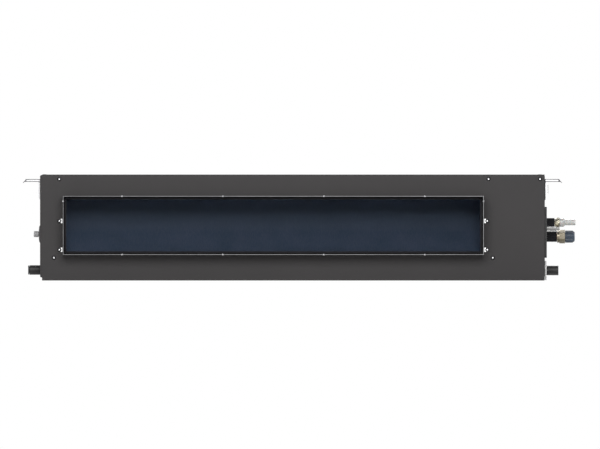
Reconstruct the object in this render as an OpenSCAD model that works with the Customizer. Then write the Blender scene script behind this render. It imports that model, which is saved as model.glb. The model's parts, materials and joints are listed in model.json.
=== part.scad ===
// Slim ducted air conditioner, the unit that hangs above a ceiling.
// The outlet faces -Y, the return air side faces +Y, the pipes leave at +X and +Z is up.
// The origin is the middle of the underside. All lengths are millimetres.

/* [Casing] */
// Width of the casing across its side panels
casing_w = 1000; // [920:10:1200]
// Height of the casing
casing_h = 210; // [206:1:230]
// Depth from the front panel to the return frame
casing_d = 500; // [490:5:600]
// Thickness of the steel sheet
sheet_t = 1; // [0.8:0.1:1.2]
// Width of the folded edges of the side panels
fold_w = 14; // [12:1:16]
// Outer radius of a fold
fold_r = 3; // [2:0.5:4]
// How far the front, top and bottom panels stop short of the left face
corner_inset = 4; // [3:0.5:5]
// How far the front, top and rear panels stop short of the right face
right_inset = 0.5; // [0.3:0.1:4]
// Height of the stepped edge of the bottom panels
bottom_step = 5; // [4:0.5:6]
// Width of the stepped edge of the bottom panels
bottom_margin = 16; // [15:0.5:20]
// Thickness of the foam under the top panel
insulation_t = 5; // [3:0.5:7]

/* [Outlet] */
// Distance from the left face to the outlet collar
outlet_left = 45.4; // [40:0.2:60]
// Width of the piping bay, from the collar to the right face
pipe_bay_w = 121; // [115:1:150]
// Height of the collar's lower edge above the underside
outlet_z0 = 51; // [46:1:58]
// Distance from the collar's upper edge to the top face
outlet_top_gap = 42.6; // [34:0.2:58]
// How far the collar stands out
collar_len = 31; // [25:1:45]
// Pitch of the rivets along the collar
rivet_pitch = 200; // [150:5:220]
// Thickness of the foam inside the outlet
liner_t = 4; // [3:0.5:6]

/* [Coil] */
// Outer diameter of a coil tube
tube_d = 9.52; // [8:0.02:10]
// Pitch of the tubes along a row
tube_pitch = 25.4; // [24:0.1:26]
// Pitch of the two rows
row_pitch = 22; // [20:0.5:23]
// Pitch of the modelled fins
fin_pitch = 12.5; // [10:0.5:20]
// Thickness of a modelled fin
fin_t = 0.3; // [0.2:0.05:0.5]

/* [Fan] */
// Room between the scroll housings and the top sheet
scroll_top_gap = 6.2; // [4:0.2:14]
// Width of a scroll housing
scroll_w = 230; // [200:5:240]
// Blades on one wheel
blades = 40; // [30:1:44]
// Wall of a scroll housing
scroll_wall = 1.8; // [1.5:0.1:2.5]
// Diameter of the shaft
shaft_d = 12; // [10:0.5:14]
// Diameter of the motor
motor_d = 94; // [80:1:100]
// Length of the motor body
motor_len = 84; // [70:1:95]

/* [Filter] */
// Distance from the left face to the return opening
return_left = 60; // [45:5:90]
// Distance from the return opening to the right face
return_bay_w = 120; // [112:2:150]
// Distance from the return opening to the upper and lower faces
return_edge = 19; // [18:0.5:30]
// Thickness of the filter frame
filter_t = 9; // [8:0.5:12]
// Depth of the filter rails' grip
rail_grip = 9; // [8:0.5:12]

/* [Piping] */
// Outer diameter of the gas line
gas_d = 12.7; // [12:0.1:14]
// Outer diameter of the liquid line
liquid_d = 6.35; // [6:0.05:8]
// Height of the gas line above the underside
gas_z = 87; // [84:0.5:88]
// Height of the liquid line above the underside
liquid_z = 115; // [114:0.5:118]
// Outer diameter of the gas line's sleeve
gas_sleeve_d = 20.6; // [19:0.1:22]
// Outer diameter of the liquid line's sleeve
liquid_sleeve_d = 17.4; // [15:0.1:18]
// Width across the flats of the gas nut
gas_nut_af = 24; // [23:0.5:26]
// Width across the flats of the liquid nut
liquid_nut_af = 17; // [16:0.5:18]
// Outer diameter of the grey tube between the lines
stub_d = 8.4; // [6:0.2:9]

/* [Drain] */
// Outer diameter of the drain spouts
spout_d = 19; // [17:0.5:21]
// Bore of the drain spouts
spout_bore = 14; // [11:0.5:15]
// Height of the right drain spout above the underside
spout_z = 19.9; // [19.5:0.1:22]
// How much higher the left drain spout sits
left_spout_up = 1; // [0.5:0.1:2]
// How far the left spout stands out with its plug
left_spout_len = 23.6; // [20:0.2:30]
// How far the right spout stands out
right_spout_len = 27; // [20:0.5:35]
// Diameter of the inspection disc
disc_d = 34; // [30:1:40]

/* [Hangers] */
// Thickness of a hanger
hanger_t = 1.8; // [1.5:0.1:2.5]
// Width of a hanger along the casing
hanger_w = 50; // [40:1:60]
// How far a hanger reaches past the side panel
hanger_reach = 34.5; // [32:0.5:45]
// Length of the hanger leg down the side panel
hanger_leg = 40; // [36:1:48]
// Height of the hanger's upper face above the underside
hanger_z = 201; // [196:1:204]
// Width of the slot for the threaded rod
slot_w = 12; // [11:0.5:14]
// Length of the slot for the threaded rod
slot_len = 22; // [20:0.5:24]
// Distance from the casing's middle to a hanger's middle
hanger_y = 180; // [150:5:200]

/* [Hidden] */
$fn = 48;

// Overrun of cuts past the face that they open
over = 1;
// Gap of a fit within one body, and of a running fit
fit_gap = 0.15;
run_gap = 0.05;
// Gap between pieces that only lie beside each other
seat_gap = 0.3;

// Pressed ribs of the top panel
rib_len_share = 0.32;
rib_depth = 2;
rib_w = 16;

// Colours
dark_paint = [0.28, 0.28, 0.28];
zinc = [0.78, 0.79, 0.80];
black_foam = [0.10, 0.10, 0.11];
black_plastic = [0.13, 0.13, 0.13];
blue_fin = [0.16, 0.24, 0.36];
copper = [0.72, 0.42, 0.27];
brass = [0.70, 0.66, 0.54];
pale_plastic = [0.80, 0.82, 0.80];
cap_blue = [0.28, 0.36, 0.43];
grey_plastic = [0.60, 0.60, 0.62];
board_green = [0.10, 0.34, 0.22];

// Casing planes
half_w = casing_w/2;
half_d = casing_d/2;
panel_x = half_w - corner_inset;
right_x = half_w - right_inset;
side_in_x = half_w - sheet_t;
front_in_y = -half_d + sheet_t;
rear_in_y = half_d - sheet_t;
top_in_z = casing_h - sheet_t;
flange_top_z = top_in_z - sheet_t;
edge_z = bottom_step + sheet_t;
flange_low_z = edge_z + sheet_t;

// Outlet
outlet_x0 = -half_w + outlet_left;
outlet_x1 = half_w - pipe_bay_w;
outlet_z1 = casing_h - outlet_top_gap;
outlet_h = outlet_z1 - outlet_z0;
outlet_xm = (outlet_x0 + outlet_x1)/2;
collar_y0 = -half_d - collar_len;
collar_lip = 2;
liner_back = 14;
liner_front = 19;
ear_w = 14;
ear_h = 8.4;
ear_low_up = 10;
ear_pitch = 57;
ear_low_z = outlet_z0 + ear_low_up;
ear_high_z = ear_low_z + ear_pitch;
rivet_down = 10;
rivet_in = 8;
rivet_z = outlet_z1 - rivet_down;
rivet_y = collar_y0 + rivet_in;
rivet_r = 1.6;
rivet_head_r = 2.4;
rivet_head_h = 1.4;
rivet_count = 4;

// Screws
screw_r = 1.9;
screw_head_r = 4;
screw_head_h = 2;
low_head_h = 0.6;
screw_hole_r = screw_r + fit_gap;
screw_len = 6;
screw_edge = 9.5;
front_screw_top = 9;
front_screw_in = 38;
front_screw_low_out = 18;
front_screw_low_down = 6;

// Coil: the slab leans so that it fits between the pan and the foam
pan_floor_z = 10;
coil_lift = 12;
coil_top_gap = 5;
coil_front_gap = 10.6;
plate_t = 1.2;
plate_margin = 2;
plate_foot = 34;
plate_ear = 30;
coil_x0 = outlet_x0 - 2*plate_t;
coil_past_outlet = 7;
coil_x1 = outlet_x1 + coil_past_outlet;
fin_w = 2*row_pitch;
coil_room = top_in_z - insulation_t - coil_top_gap - pan_floor_z - coil_lift;
lean_share = 1.15;
row_tubes = 2*round(coil_room*lean_share/(2*tube_pitch));
fin_l = row_tubes*tube_pitch;
slab_r = norm([fin_l, fin_w]);
coil_tilt = atan2(fin_w, fin_l) + acos(coil_room/slab_r);
coil_z = pan_floor_z + coil_lift + coil_room/2;
coil_half_y = (fin_l*sin(coil_tilt) + fin_w*cos(coil_tilt))/2;
coil_y = front_in_y + coil_front_gap + coil_half_y;
tube_r = tube_d/2;
bend_r = tube_pitch/2;
tube_stub = 4;
tube_end_x0 = coil_x0 - plate_t - tube_stub;
tube_end_x1 = coil_x1 + plate_t + 2*tube_stub;
stagger = tube_pitch/4;

// A place in the slab: u runs up along the rows, v from the front face to the back face
function slab_y(u, v) = coil_y + v*cos(coil_tilt) + u*sin(coil_tilt);
function slab_z(u, v) = coil_z - v*sin(coil_tilt) + u*cos(coil_tilt);
function tube_u(i, row) = (i - (row_tubes - 1)/2)*tube_pitch + (row == 0 ? -stagger : stagger);
function tube_v(row) = row == 0 ? -row_pitch/2 : row_pitch/2;

// Drain pan
pan_wall = 3;
pan_rim_z = 34;
pan_x = half_w - bottom_margin - corner_inset;
pan_front_gap = 2;
pan_back_room = 13;
pan_y0 = front_in_y + pan_front_gap;
pan_y1 = coil_y + coil_half_y + pan_back_room;
spout_r = spout_d/2;
spout_bore_r = spout_bore/2;
spout_neck_r = (spout_r + spout_bore_r)/2;
left_spout_z = spout_z + left_spout_up;
spout_forward = 43;
spout_y = coil_y - spout_forward;
spout_flange_w = 2.5;
spout_flange_r = spout_r + spout_flange_w;
spout_flange_t = 2;
ring_r = 19;
ring_t = 3.5;
plug_head_t = 2.6;
plug_head_r = spout_r - 2*seat_gap;
plug_len = 14;

// Fan deck and scrolls
deck_gap = 36;
deck_y = coil_y + coil_half_y + deck_gap;
scroll_gap = 8;
scroll_growth = 20;
scroll_foot = 4.5;
tongue_a = 180;
low_a = 270;
rear_a = 360;
spiral_sweep = 270;
spiral_steps = 36;
scroll_r0 = (top_in_z - scroll_top_gap - scroll_foot - 2*scroll_wall
    - scroll_growth*(1 + (low_a - tongue_a)/spiral_sweep))/2;
scroll_r1 = scroll_r0 + scroll_growth;
wheel_r = scroll_r0 - scroll_gap;
function spiral_r(a) = scroll_r0 + scroll_growth*(a - tongue_a)/spiral_sweep;
fan_z = scroll_foot + scroll_wall + spiral_r(low_a);
rear_gap = 22;
fan_y = rear_in_y - rear_gap - scroll_wall - spiral_r(rear_a);
throat_z1 = fan_z + scroll_r1;
throat_drop = 3;
throat_z0 = fan_z - throat_drop;
split_y = deck_y + 3*sheet_t;
throat_flange = 10;
throat_flange_t = 1.6;
inlet_in = 13;
inlet_r = wheel_r - inlet_in;
bell_r = 8;
bell_steps = 5;
scroll_shift_share = 0.2821;
scroll_shift = (outlet_x1 - outlet_x0)*scroll_shift_share;
left_scroll_x = outlet_xm - scroll_shift - scroll_w/2;
right_scroll_x = outlet_xm + scroll_shift - scroll_w/2;
wheel_end_gap = 12;
wheel_w = scroll_w - 2*wheel_end_gap;
wheel_ring_t = 3;
wheel_disc_t = 2;
blade_depth = 14;
blade_in = 2;
blade_t = 1;
ring_depth = 5;
hub_r = 15;
hub_len = 24;
shaft_r = shaft_d/2;
clip_w = 12;
clip_t = 2;

// Motor
boss_r = 22;
boss_len = 10;
ring_wall = 6;
ring_len = 8;
arm_t = 2;
arm_r = 38;
arm_share = 0.42;
arm_neck_share = 0.8;
shaft_past = 2;
motor_round = 6;
motor_x = outlet_xm;

// Filter
rail_t = 1;
filter_gap = 0.35;
mesh_t = 1.2;
filter_bar = 8;
filter_rib = 3;
filter_columns = 6;
filter_rows = 2;
net_split = 2;
net_bar = 2;
return_x0 = -half_w + return_left;
return_x1 = half_w - return_bay_w;
return_z0 = return_edge;
return_z1 = casing_h - return_edge;
return_zm = casing_h/2;
return_lip = 8;
rail_overlap = 5;
rail_y0 = half_d;
rail_hem_t = 2*rail_t;
groove_y0 = rail_y0 + rail_hem_t;
groove_y1 = groove_y0 + filter_t + 2*filter_gap;
filter_y0 = groove_y0 + filter_gap;
filter_z0 = return_z0 - rail_overlap;
filter_z1 = return_z1 + rail_overlap;
filter_x0 = return_x0 - rail_overlap;
filter_x1 = return_x1 + rail_overlap;
cell_pitch_x = (filter_x1 - filter_x0 - 2*filter_bar + filter_rib)/filter_columns;
cell_pitch_z = (filter_z1 - filter_z0 - 2*filter_bar + filter_rib)/filter_rows;
rail_stop = 6;
tab_len = 16;
tab_h = 40;

// Piping
gas_r = gas_d/2;
liquid_r = liquid_d/2;
header_r = 8;
header_x = tube_end_x1 + bend_r + tube_r + header_r + plate_margin;
plate_x = half_w;
plate_thick = 4;
plate_z0 = 45;
plate_z1 = 146;
plate_round = 4;
plate_side = 26;
gas_u = (gas_z - coil_z + tube_v(1)*sin(coil_tilt))/cos(coil_tilt);
gas_y = slab_y(gas_u, tube_v(1));
liquid_forward = 30;
liquid_y = gas_y - liquid_forward;
stub_back = 22;
stub_y = gas_y + stub_back;
stub_z = (gas_z + gas_sleeve_d/2 + liquid_z - liquid_sleeve_d/2)/2;
stub_out = 30;
liquid_sleeve_out = 19.5;
gas_sleeve_out = 24;
liquid_sleeve_x1 = half_w + liquid_sleeve_out;
gas_sleeve_x1 = half_w + gas_sleeve_out;
liquid_nut_len = 9.5;
gas_nut_len = 15.6;
nut_neck_share = 0.3;
nut_round_share = 0.56;
thread_share = 0.36;
flare_share = 1.3;
gas_cap_len = 19.2;
liquid_cap_len = 10.5;
liquid_tail_len = 20.5;
liquid_tail_r = 5.5;
cap_plug_share = 0.7;
cap_ribs = 18;
cap_round = 4;
cap_rib_depth = 1;
distributor_len = 22;
distributor_r = 9;
distributor_gap = 28;
distributor_x = header_x + distributor_gap;
sleeve_x0 = distributor_x + distributor_len;
capillary_r = 1.5;
capillary_bend = 9;
capillary_sides = 8;
bend_steps = 5;

// Inspection plug on the left
plug_forward = 6;
plug_y = coil_y - plug_forward;
plug_z = 92;
disc_r = disc_d/2;
disc_bulge = 2.4;
disc_t = 1.2;
knob_r = 6;
knob_len = 10;
neck_r = 4;
neck_len = 5;
knob_round = 1.5;

// Electrical box
box_outlet_gap = 24;
box_deck_gap = 74;
box_rear_gap = 18;
box_top_gap = 22;
box_x0 = outlet_x1 + box_outlet_gap;
box_y0 = deck_y + box_deck_gap;
box_y1 = rear_in_y - box_rear_gap;
box_z0 = 14;
box_z1 = casing_h - box_top_gap;
box_wall = 1;
box_side_gap = 7;
box_x1 = side_in_x - box_side_gap;
board_t = 1.6;
board_margin = 12;
post_r = 3;
post_len = 8;
board_x0 = box_x0 + board_margin*2/3;
board_x1 = box_x1 - board_margin*2/3;
board_y0 = box_y0 + board_margin;
board_y1 = box_y1 - board_margin;
board_z = box_z1 - box_wall - post_len;
post_in = 2*post_r;
post_xs = [board_x0 + post_in, board_x1 - post_in];
post_ys = [board_y0 + post_in, board_y1 - post_in];
relay = [16, 13, 15];
capacitor_r = 13;
capacitor_len = 40;
transformer = [34, 30, 26];
terminal = [22, 90, 24];
terminal_ways = 6;
grommet_r = 11;
grommet_lip = 2;
grommet_back = 100;
grommet_y = deck_y + grommet_back;
grommet_z = 172;
grommet_pitch = 30;

// Hangers
hanger_edge = 5.5;
hanger_rib = 6.5;
hanger_drop = 7.5;
hanger_x = half_w + hanger_reach;
slot_out = 18;
slot_x = half_w + slot_out;
hanger_screw_down = [12, 28];

// Shapes and helpers

function unit(v) = v/norm(v);
function arc(c, r, a0, a1, steps) =
    [for (i = [0:steps]) [c[0] + r*cos(a0 + (a1 - a0)*i/steps), c[1] + r*sin(a0 + (a1 - a0)*i/steps)]];

// A rectangle with round corners, from one corner to the other
module round_plate(p, q, r) {
    polygon(concat(
        arc([q[0] - r, q[1] - r], r, 0, 90, bend_steps),
        arc([p[0] + r, q[1] - r], r, 90, 180, bend_steps),
        arc([p[0] + r, p[1] + r], r, 180, 270, bend_steps),
        arc([q[0] - r, p[1] + r], r, 270, 360, bend_steps)));
}

module box(p, q) {
    translate(p) cube(q - p);
}

// A flat shape in Y and Z, thickened along +X from x
module along_x(x, len) {
    translate([x, 0, 0]) rotate([90, 0, 90]) linear_extrude(len) children();
}

// A flat shape in X and Z, thickened along +Y from y
module along_y(y, len) {
    translate([0, y + len, 0]) rotate([90, 0, 0]) linear_extrude(len) children();
}

module rod_x(x, y, z, len, r) {
    translate([x, y, z]) rotate([0, 90, 0]) cylinder(h = len, r = r);
}

module rod_y(x, y, z, len, r) {
    translate([x, y + len, z]) rotate([90, 0, 0]) cylinder(h = len, r = r);
}

module rod_z(x, y, z, len, r) {
    translate([x, y, z]) cylinder(h = len, r = r);
}

// A screw whose head stands on z = 0 and points up: a pan head, or a low wafer head
module screw(head_h = screw_head_h) {
    rotate_extrude() polygon([
        [0, -screw_len], [screw_r, -screw_len], [screw_r, 0], [screw_head_r, 0],
        [screw_head_r, head_h/2], [screw_head_r*3/4, head_h], [0, head_h]]);
}

// Screw places
front_screws = [
    [-half_w + front_screw_in, casing_h - front_screw_top],
    [outlet_x1 + screw_edge, casing_h - front_screw_top],
    [half_w - screw_edge, casing_h - front_screw_top],
    [outlet_x0 - front_screw_low_out, outlet_z0 - front_screw_low_down],
    [outlet_x1 + front_screw_low_out, outlet_z0 - front_screw_low_down]];
edge_xs = [-half_w + screw_edge, half_w - screw_edge];
rear_screws = [for (x = edge_xs, z = [casing_h/4, casing_h*3/4]) [x, z]];
top_screws = [for (x = edge_xs, k = [-1:1]) [x, k*(half_d - fold_w)]];
bottom_screw_y_shares = [-5/6, -1/3, 1/6, 1/2, 5/6];
bottom_screws = [for (x = edge_xs, k = bottom_screw_y_shares) [x, k*half_d]];
ear_screws = [for (side = [-1, 1], z = [ear_low_z, ear_high_z])
    [side < 0 ? outlet_x0 - ear_w/2 : outlet_x1 + ear_w/2, z]];

// Cuts for the screws of one list
module front_holes(len) {
    for (p = front_screws) rod_y(p[0], -half_d - over, p[1], len, screw_hole_r);
}

module rear_holes() {
    for (p = rear_screws) rod_y(p[0], rear_in_y - fold_w, p[1], 2*fold_w, screw_hole_r);
}

module top_holes() {
    for (p = top_screws) rod_z(p[0], p[1], casing_h - fold_w, 2*fold_w, screw_hole_r);
}

module bottom_holes() {
    for (p = bottom_screws) rod_z(p[0], p[1], -over, fold_w + over, screw_hole_r);
}

// Casing

// A pressed rib in the top sheet: a flat-bottomed groove with round ends
module rib_shape(x, y, grow, z0, z1) {
    translate([0, 0, z0]) linear_extrude(z1 - z0)
        round_plate([x - casing_w*rib_len_share/2 - grow, y - rib_w/2 - grow],
            [x + casing_w*rib_len_share/2 + grow, y + rib_w/2 + grow], rib_w/3);
}

module top_ribs(grow, z0, z1) {
    for (x = [-casing_w/4, casing_w/4], y = [half_d/5, half_d*3/5]) rib_shape(x, y, grow, z0, z1);
}

module top_panel() {
    color(dark_paint) difference() {
        union() {
            box([-panel_x, front_in_y, top_in_z], [right_x, rear_in_y, casing_h]);
            for (y = [front_in_y, rear_in_y - sheet_t])
                box([-half_w + fold_w + 2*sheet_t, y, top_in_z - fold_w],
                    [half_w - fold_w - 2*sheet_t, y + sheet_t, top_in_z]);
            top_ribs(sheet_t, casing_h - rib_depth - sheet_t, top_in_z);
        }
        top_ribs(0, casing_h - rib_depth, casing_h + over);
        top_holes();
        front_holes(3*sheet_t + over);
    }
}

module top_insulation() {
    color(black_foam) difference() {
        box([-half_w + fold_w + 2*sheet_t, front_in_y + sheet_t, top_in_z - insulation_t],
            [half_w - fold_w - 2*sheet_t, deck_y - sheet_t, top_in_z]);
        front_holes(fold_w);
    }
}

// The bottom sheet in X and Z, with a raised edge at both sides
module bottom_profile() {
    flat_x = half_w - bottom_margin;
    step_x = flat_x + 2*sheet_t;
    polygon([
        [-flat_x, 0], [flat_x, 0], [step_x, bottom_step], [panel_x, bottom_step], [panel_x, edge_z],
        [step_x - sheet_t, edge_z], [flat_x - sheet_t, sheet_t],
        [-flat_x + sheet_t, sheet_t], [-step_x + sheet_t, edge_z], [-panel_x, edge_z],
        [-panel_x, bottom_step], [-step_x, bottom_step]]);
}

module bottom_lip(y) {
    box([-pan_x, y, 0], [pan_x, y + sheet_t, edge_z + bottom_step]);
}

module bottom_panel() {
    color(dark_paint) difference() {
        union() {
            along_y(front_in_y, split_y - seat_gap/2 - front_in_y) bottom_profile();
            bottom_lip(split_y - seat_gap/2 - sheet_t);
        }
        bottom_holes();
    }
}

module service_panel() {
    color(dark_paint) difference() {
        union() {
            along_y(split_y + seat_gap/2, rear_in_y - split_y - seat_gap/2) bottom_profile();
            bottom_lip(split_y + seat_gap/2);
            bottom_lip(rear_in_y - sheet_t);
        }
        bottom_holes();
    }
}

// The section of a side panel in X and Z, for the right-hand side
module side_profile() {
    difference() {
        round_plate([half_w - 2*fold_w, edge_z], [half_w, top_in_z], fold_r);
        round_plate([half_w - 3*fold_w, flange_low_z], [side_in_x, flange_top_z], fold_r - sheet_t);
        translate([half_w - 4*fold_w, 0]) square([3*fold_w, casing_h]);
    }
}

// Front or rear edge of a side panel
module side_edge(y) {
    along_y(y, sheet_t) intersection() {
        round_plate([half_w - 2*fold_w, edge_z], [half_w, top_in_z], fold_r);
        translate([half_w - fold_w, 0]) square([fold_w, casing_h]);
    }
}

module side_shell() {
    difference() {
        union() {
            along_y(front_in_y, casing_d - 2*sheet_t) side_profile();
            side_edge(front_in_y);
            side_edge(rear_in_y - sheet_t);
        }
        top_holes();
        bottom_holes();
        rear_holes();
    }
}

module hanger_holes(side) {
    for (y = [-hanger_y, hanger_y], k = hanger_screw_down)
        rod_x(side*half_w - fold_w, y, hanger_z - k, 2*fold_w, screw_hole_r);
}

module left_side_panel() {
    color(dark_paint) difference() {
        mirror([1, 0, 0]) side_shell();
        hanger_holes(-1);
        front_holes(3*sheet_t + over);
        rod_x(-half_w - over, spout_y, left_spout_z, sheet_t + 2*over, spout_neck_r + fit_gap);
        rod_x(-half_w - over, plug_y, plug_z, sheet_t + 2*over, disc_r*3/4);
    }
}

module right_side_panel() {
    color(dark_paint) difference() {
        side_shell();
        hanger_holes(1);
        front_holes(3*sheet_t + over);
        rod_x(half_w - over - sheet_t, spout_y, spout_z, sheet_t + 2*over, spout_neck_r + fit_gap);
        pipe_cuts(side_in_x - over, sheet_t + 2*over);
        for (k = [0, 1])
            rod_x(side_in_x - over, grommet_y + k*grommet_pitch, grommet_z, sheet_t + 2*over, grommet_r);
    }
}

// Holes for the two lines and the grey tube
module pipe_cuts(x, len) {
    rod_x(x, gas_y, gas_z, len, gas_sleeve_d/2 + fit_gap);
    rod_x(x, liquid_y, liquid_z, len, liquid_sleeve_d/2 + fit_gap);
    rod_x(x, stub_y, stub_z, len, stub_d/2 + fit_gap);
}

module front_panel() {
    color(dark_paint) difference() {
        along_y(-half_d, sheet_t) round_plate([-panel_x, 0], [right_x, casing_h], sheet_t);
        box([outlet_x0 + sheet_t + collar_lip, -half_d - over, outlet_z0 + sheet_t + collar_lip],
            [outlet_x1 - sheet_t - collar_lip, front_in_y + over, outlet_z1 - sheet_t - collar_lip]);
        front_holes(sheet_t + 2*over);
        for (p = ear_screws) rod_y(p[0], -half_d - over, p[1], sheet_t + 2*over, screw_hole_r);
    }
}

module return_frame() {
    color(dark_paint) difference() {
        union() {
            along_y(rear_in_y, sheet_t) round_plate([-panel_x, 0], [right_x, casing_h], sheet_t);
            box([return_x0 - sheet_t, rear_in_y - return_lip, return_z0 - sheet_t],
                [return_x1 + sheet_t, rear_in_y, return_z1 + sheet_t]);
        }
        box([return_x0, rear_in_y - return_lip - over, return_z0],
            [return_x1, half_d + over, return_z1]);
        rear_holes();
    }
}

module outlet_collar() {
    color(zinc) difference() {
        union() {
            box([outlet_x0, collar_y0, outlet_z0], [outlet_x1, -half_d, outlet_z1]);
            for (z = [ear_low_z, ear_high_z]) along_y(-half_d - sheet_t, sheet_t) {
                translate([outlet_x0 - ear_w/2, z]) circle(r = ear_h/2);
                translate([outlet_x0 - ear_w/2, z - ear_h/2]) square([ear_w/2 + sheet_t, ear_h]);
                translate([outlet_x1 + ear_w/2, z]) circle(r = ear_h/2);
                translate([outlet_x1 - sheet_t, z - ear_h/2]) square([ear_w/2 + sheet_t, ear_h]);
            }
        }
        box([outlet_x0 + sheet_t, collar_y0 - over, outlet_z0 + sheet_t],
            [outlet_x1 - sheet_t, -half_d + over, outlet_z1 - sheet_t]);
        for (p = ear_screws) rod_y(p[0], -half_d - 2*over, p[1], sheet_t + 3*over, screw_hole_r);
        for (k = [0:rivet_count - 1])
            rod_z(outlet_xm + (k - (rivet_count - 1)/2)*rivet_pitch, rivet_y, outlet_z0 - over,
                outlet_h + 2*over, rivet_r + run_gap);
        rod_x(outlet_x0 - over, rivet_y, rivet_z, outlet_x1 - outlet_x0 + 2*over, rivet_r + run_gap);
    }
}

module outlet_liner() {
    edge = sheet_t + collar_lip;
    low = [outlet_x0 + edge, collar_y0 + liner_front, outlet_z0 + edge];
    high = [outlet_x1 - edge, front_in_y + liner_back - coil_front_gap, outlet_z1 - edge];
    side_z0 = low.z + liner_t + seat_gap;
    side_z1 = high.z - liner_t - seat_gap;
    color(black_foam) {
        box(low, [high.x, high.y, low.z + liner_t]);
        box([low.x, low.y, high.z - liner_t], high);
        box([low.x, low.y, side_z0], [low.x + liner_t, high.y, side_z1]);
        box([high.x - liner_t, low.y, side_z0], [high.x, high.y, side_z1]);
    }
}

// Hangers: a slotted plate with turned-down edges, and a ribbed leg on the side panel
module hanger() {
    y0 = -hanger_w/2;
    low = hanger_z - hanger_leg;
    taper = hanger_rib*2;
    difference() {
        union() {
            box([half_w, y0, hanger_z - hanger_t], [hanger_x, -y0, hanger_z]);
            box([hanger_x - hanger_t, y0, hanger_z - hanger_drop], [hanger_x, -y0, hanger_z]);
            box([half_w, y0, low], [half_w + hanger_t, -y0, hanger_z]);
            for (y = [y0, -y0 - hanger_t]) along_y(y, hanger_t) polygon([
                [half_w, low], [half_w + hanger_t, low], [half_w + hanger_rib, low + taper],
                [half_w + hanger_rib, hanger_z - hanger_edge - hanger_rib],
                [half_w + 2*hanger_rib, hanger_z - hanger_edge],
                [hanger_x, hanger_z - hanger_edge], [hanger_x, hanger_z], [half_w, hanger_z]]);
        }
        box([slot_x - (slot_len - slot_w)/2, -slot_w/2, hanger_z - hanger_t - over],
            [slot_x + (slot_len - slot_w)/2, slot_w/2, hanger_z + over]);
        for (k = [-1, 1])
            rod_z(slot_x + k*(slot_len - slot_w)/2, 0, hanger_z - hanger_t - over,
                hanger_t + 2*over, slot_w/2);
        for (k = hanger_screw_down)
            rod_x(half_w - over, 0, hanger_z - k, hanger_t + 2*over, screw_hole_r);
    }
}

module hanger_front_right() { color(zinc) translate([0, -hanger_y, 0]) hanger(); }
module hanger_rear_right() { color(zinc) translate([0, hanger_y, 0]) hanger(); }
module hanger_front_left() { color(zinc) mirror([1, 0, 0]) translate([0, -hanger_y, 0]) hanger(); }
module hanger_rear_left() { color(zinc) mirror([1, 0, 0]) translate([0, hanger_y, 0]) hanger(); }

// Filter

// The section of a rail in Y and Z: a web, the hemmed leg on the return frame and the outer lip
module rail_profile(z, dir) {
    leg_z = dir > 0 ? z : z - rail_grip - rail_t;
    translate([rail_y0, leg_z]) square([rail_hem_t, rail_grip + rail_t]);
    translate([groove_y1, leg_z]) square([rail_t, rail_grip + rail_t]);
    translate([rail_y0, dir > 0 ? z : z - rail_t]) square([groove_y1 + rail_t - rail_y0, rail_t]);
}

module filter_rails() {
    low = filter_z0 - filter_gap - rail_t;
    high = filter_z1 + filter_gap + rail_t;
    stop = filter_x0 - seat_gap - rail_stop;
    color(zinc) for (dir = [1, -1]) union() {
        z = dir > 0 ? low : high;
        along_x(stop, filter_x1 - stop) rail_profile(z, dir);
        along_x(stop, rail_t) translate([rail_y0, dir > 0 ? z : z - rail_grip - rail_t])
            square([groove_y1 + rail_t - rail_y0, rail_grip + rail_t]);
    }
}

module filter_frame() {
    color(black_plastic) difference() {
        box([filter_x0, filter_y0, filter_z0], [filter_x1, filter_y0 + filter_t, filter_z1]);
        cell_grid(1, filter_rib);
        mesh_slab(run_gap);
    }
}

// Openings between bars, each cell of the frame split into as many parts both ways
module cell_grid(split, bar) {
    w = cell_pitch_x/split;
    h = cell_pitch_z/split;
    for (i = [0:split*filter_columns - 1], j = [0:split*filter_rows - 1])
        translate([filter_x0 + filter_bar + i*w + (bar - filter_rib)/2, filter_y0 - over,
            filter_z0 + filter_bar + j*h + (bar - filter_rib)/2])
            cube([w - bar, filter_t + 2*over, h - bar]);
}

module mesh_slab(grow) {
    inset = filter_bar/2 - grow;
    box([filter_x0 + inset, filter_y0 + filter_t/2 - mesh_t/2 - grow, filter_z0 + inset],
        [filter_x1 - inset, filter_y0 + filter_t/2 + mesh_t/2 + grow, filter_z1 - inset]);
}

module filter_mesh() {
    color(grey_plastic) difference() {
        mesh_slab(0);
        cell_grid(net_split, net_bar);
    }
}

module filter_tab() {
    color(black_plastic) difference() {
        box([filter_x1, filter_y0 + filter_t/4, return_zm - tab_h/2],
            [filter_x1 + tab_len, filter_y0 + filter_t*3/4, return_zm + tab_h/2]);
        box([filter_x1 + tab_len/4, filter_y0, return_zm - tab_h/4],
            [filter_x1 + tab_len*3/4, filter_y0 + filter_t, return_zm + tab_h/4]);
    }
}

// Fan deck and scrolls

module fan_deck() {
    color(zinc) difference() {
        union() {
            box([-side_in_x, deck_y, flange_low_z], [side_in_x, deck_y + sheet_t, flange_top_z]);
            box([-pan_x, deck_y, sheet_t], [pan_x, deck_y + sheet_t, top_in_z]);
            box([-pan_x, deck_y - fold_w, sheet_t], [pan_x, deck_y, 2*sheet_t]);
        }
        for (x = [left_scroll_x, right_scroll_x])
            box([x + scroll_wall, deck_y - over, throat_z0],
                [x + scroll_w - scroll_wall, deck_y + sheet_t + over, throat_z1]);
    }
}

// The housing's outline in Y and Z, let out by grow: a spiral and the throat up to the deck
module scroll_outline(grow) {
    polygon([for (i = [0:spiral_steps]) let (a = tongue_a + spiral_sweep*i/spiral_steps)
        [fan_y + (spiral_r(a) + grow)*cos(a), fan_z + (spiral_r(a) + grow)*sin(a)]]);
    translate([deck_y + sheet_t - (grow > 0 ? 0 : over), throat_z0 - grow])
        square([fan_y - deck_y - sheet_t + (grow > 0 ? 0 : over), throat_z1 - throat_z0 + 2*grow]);
}

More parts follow.
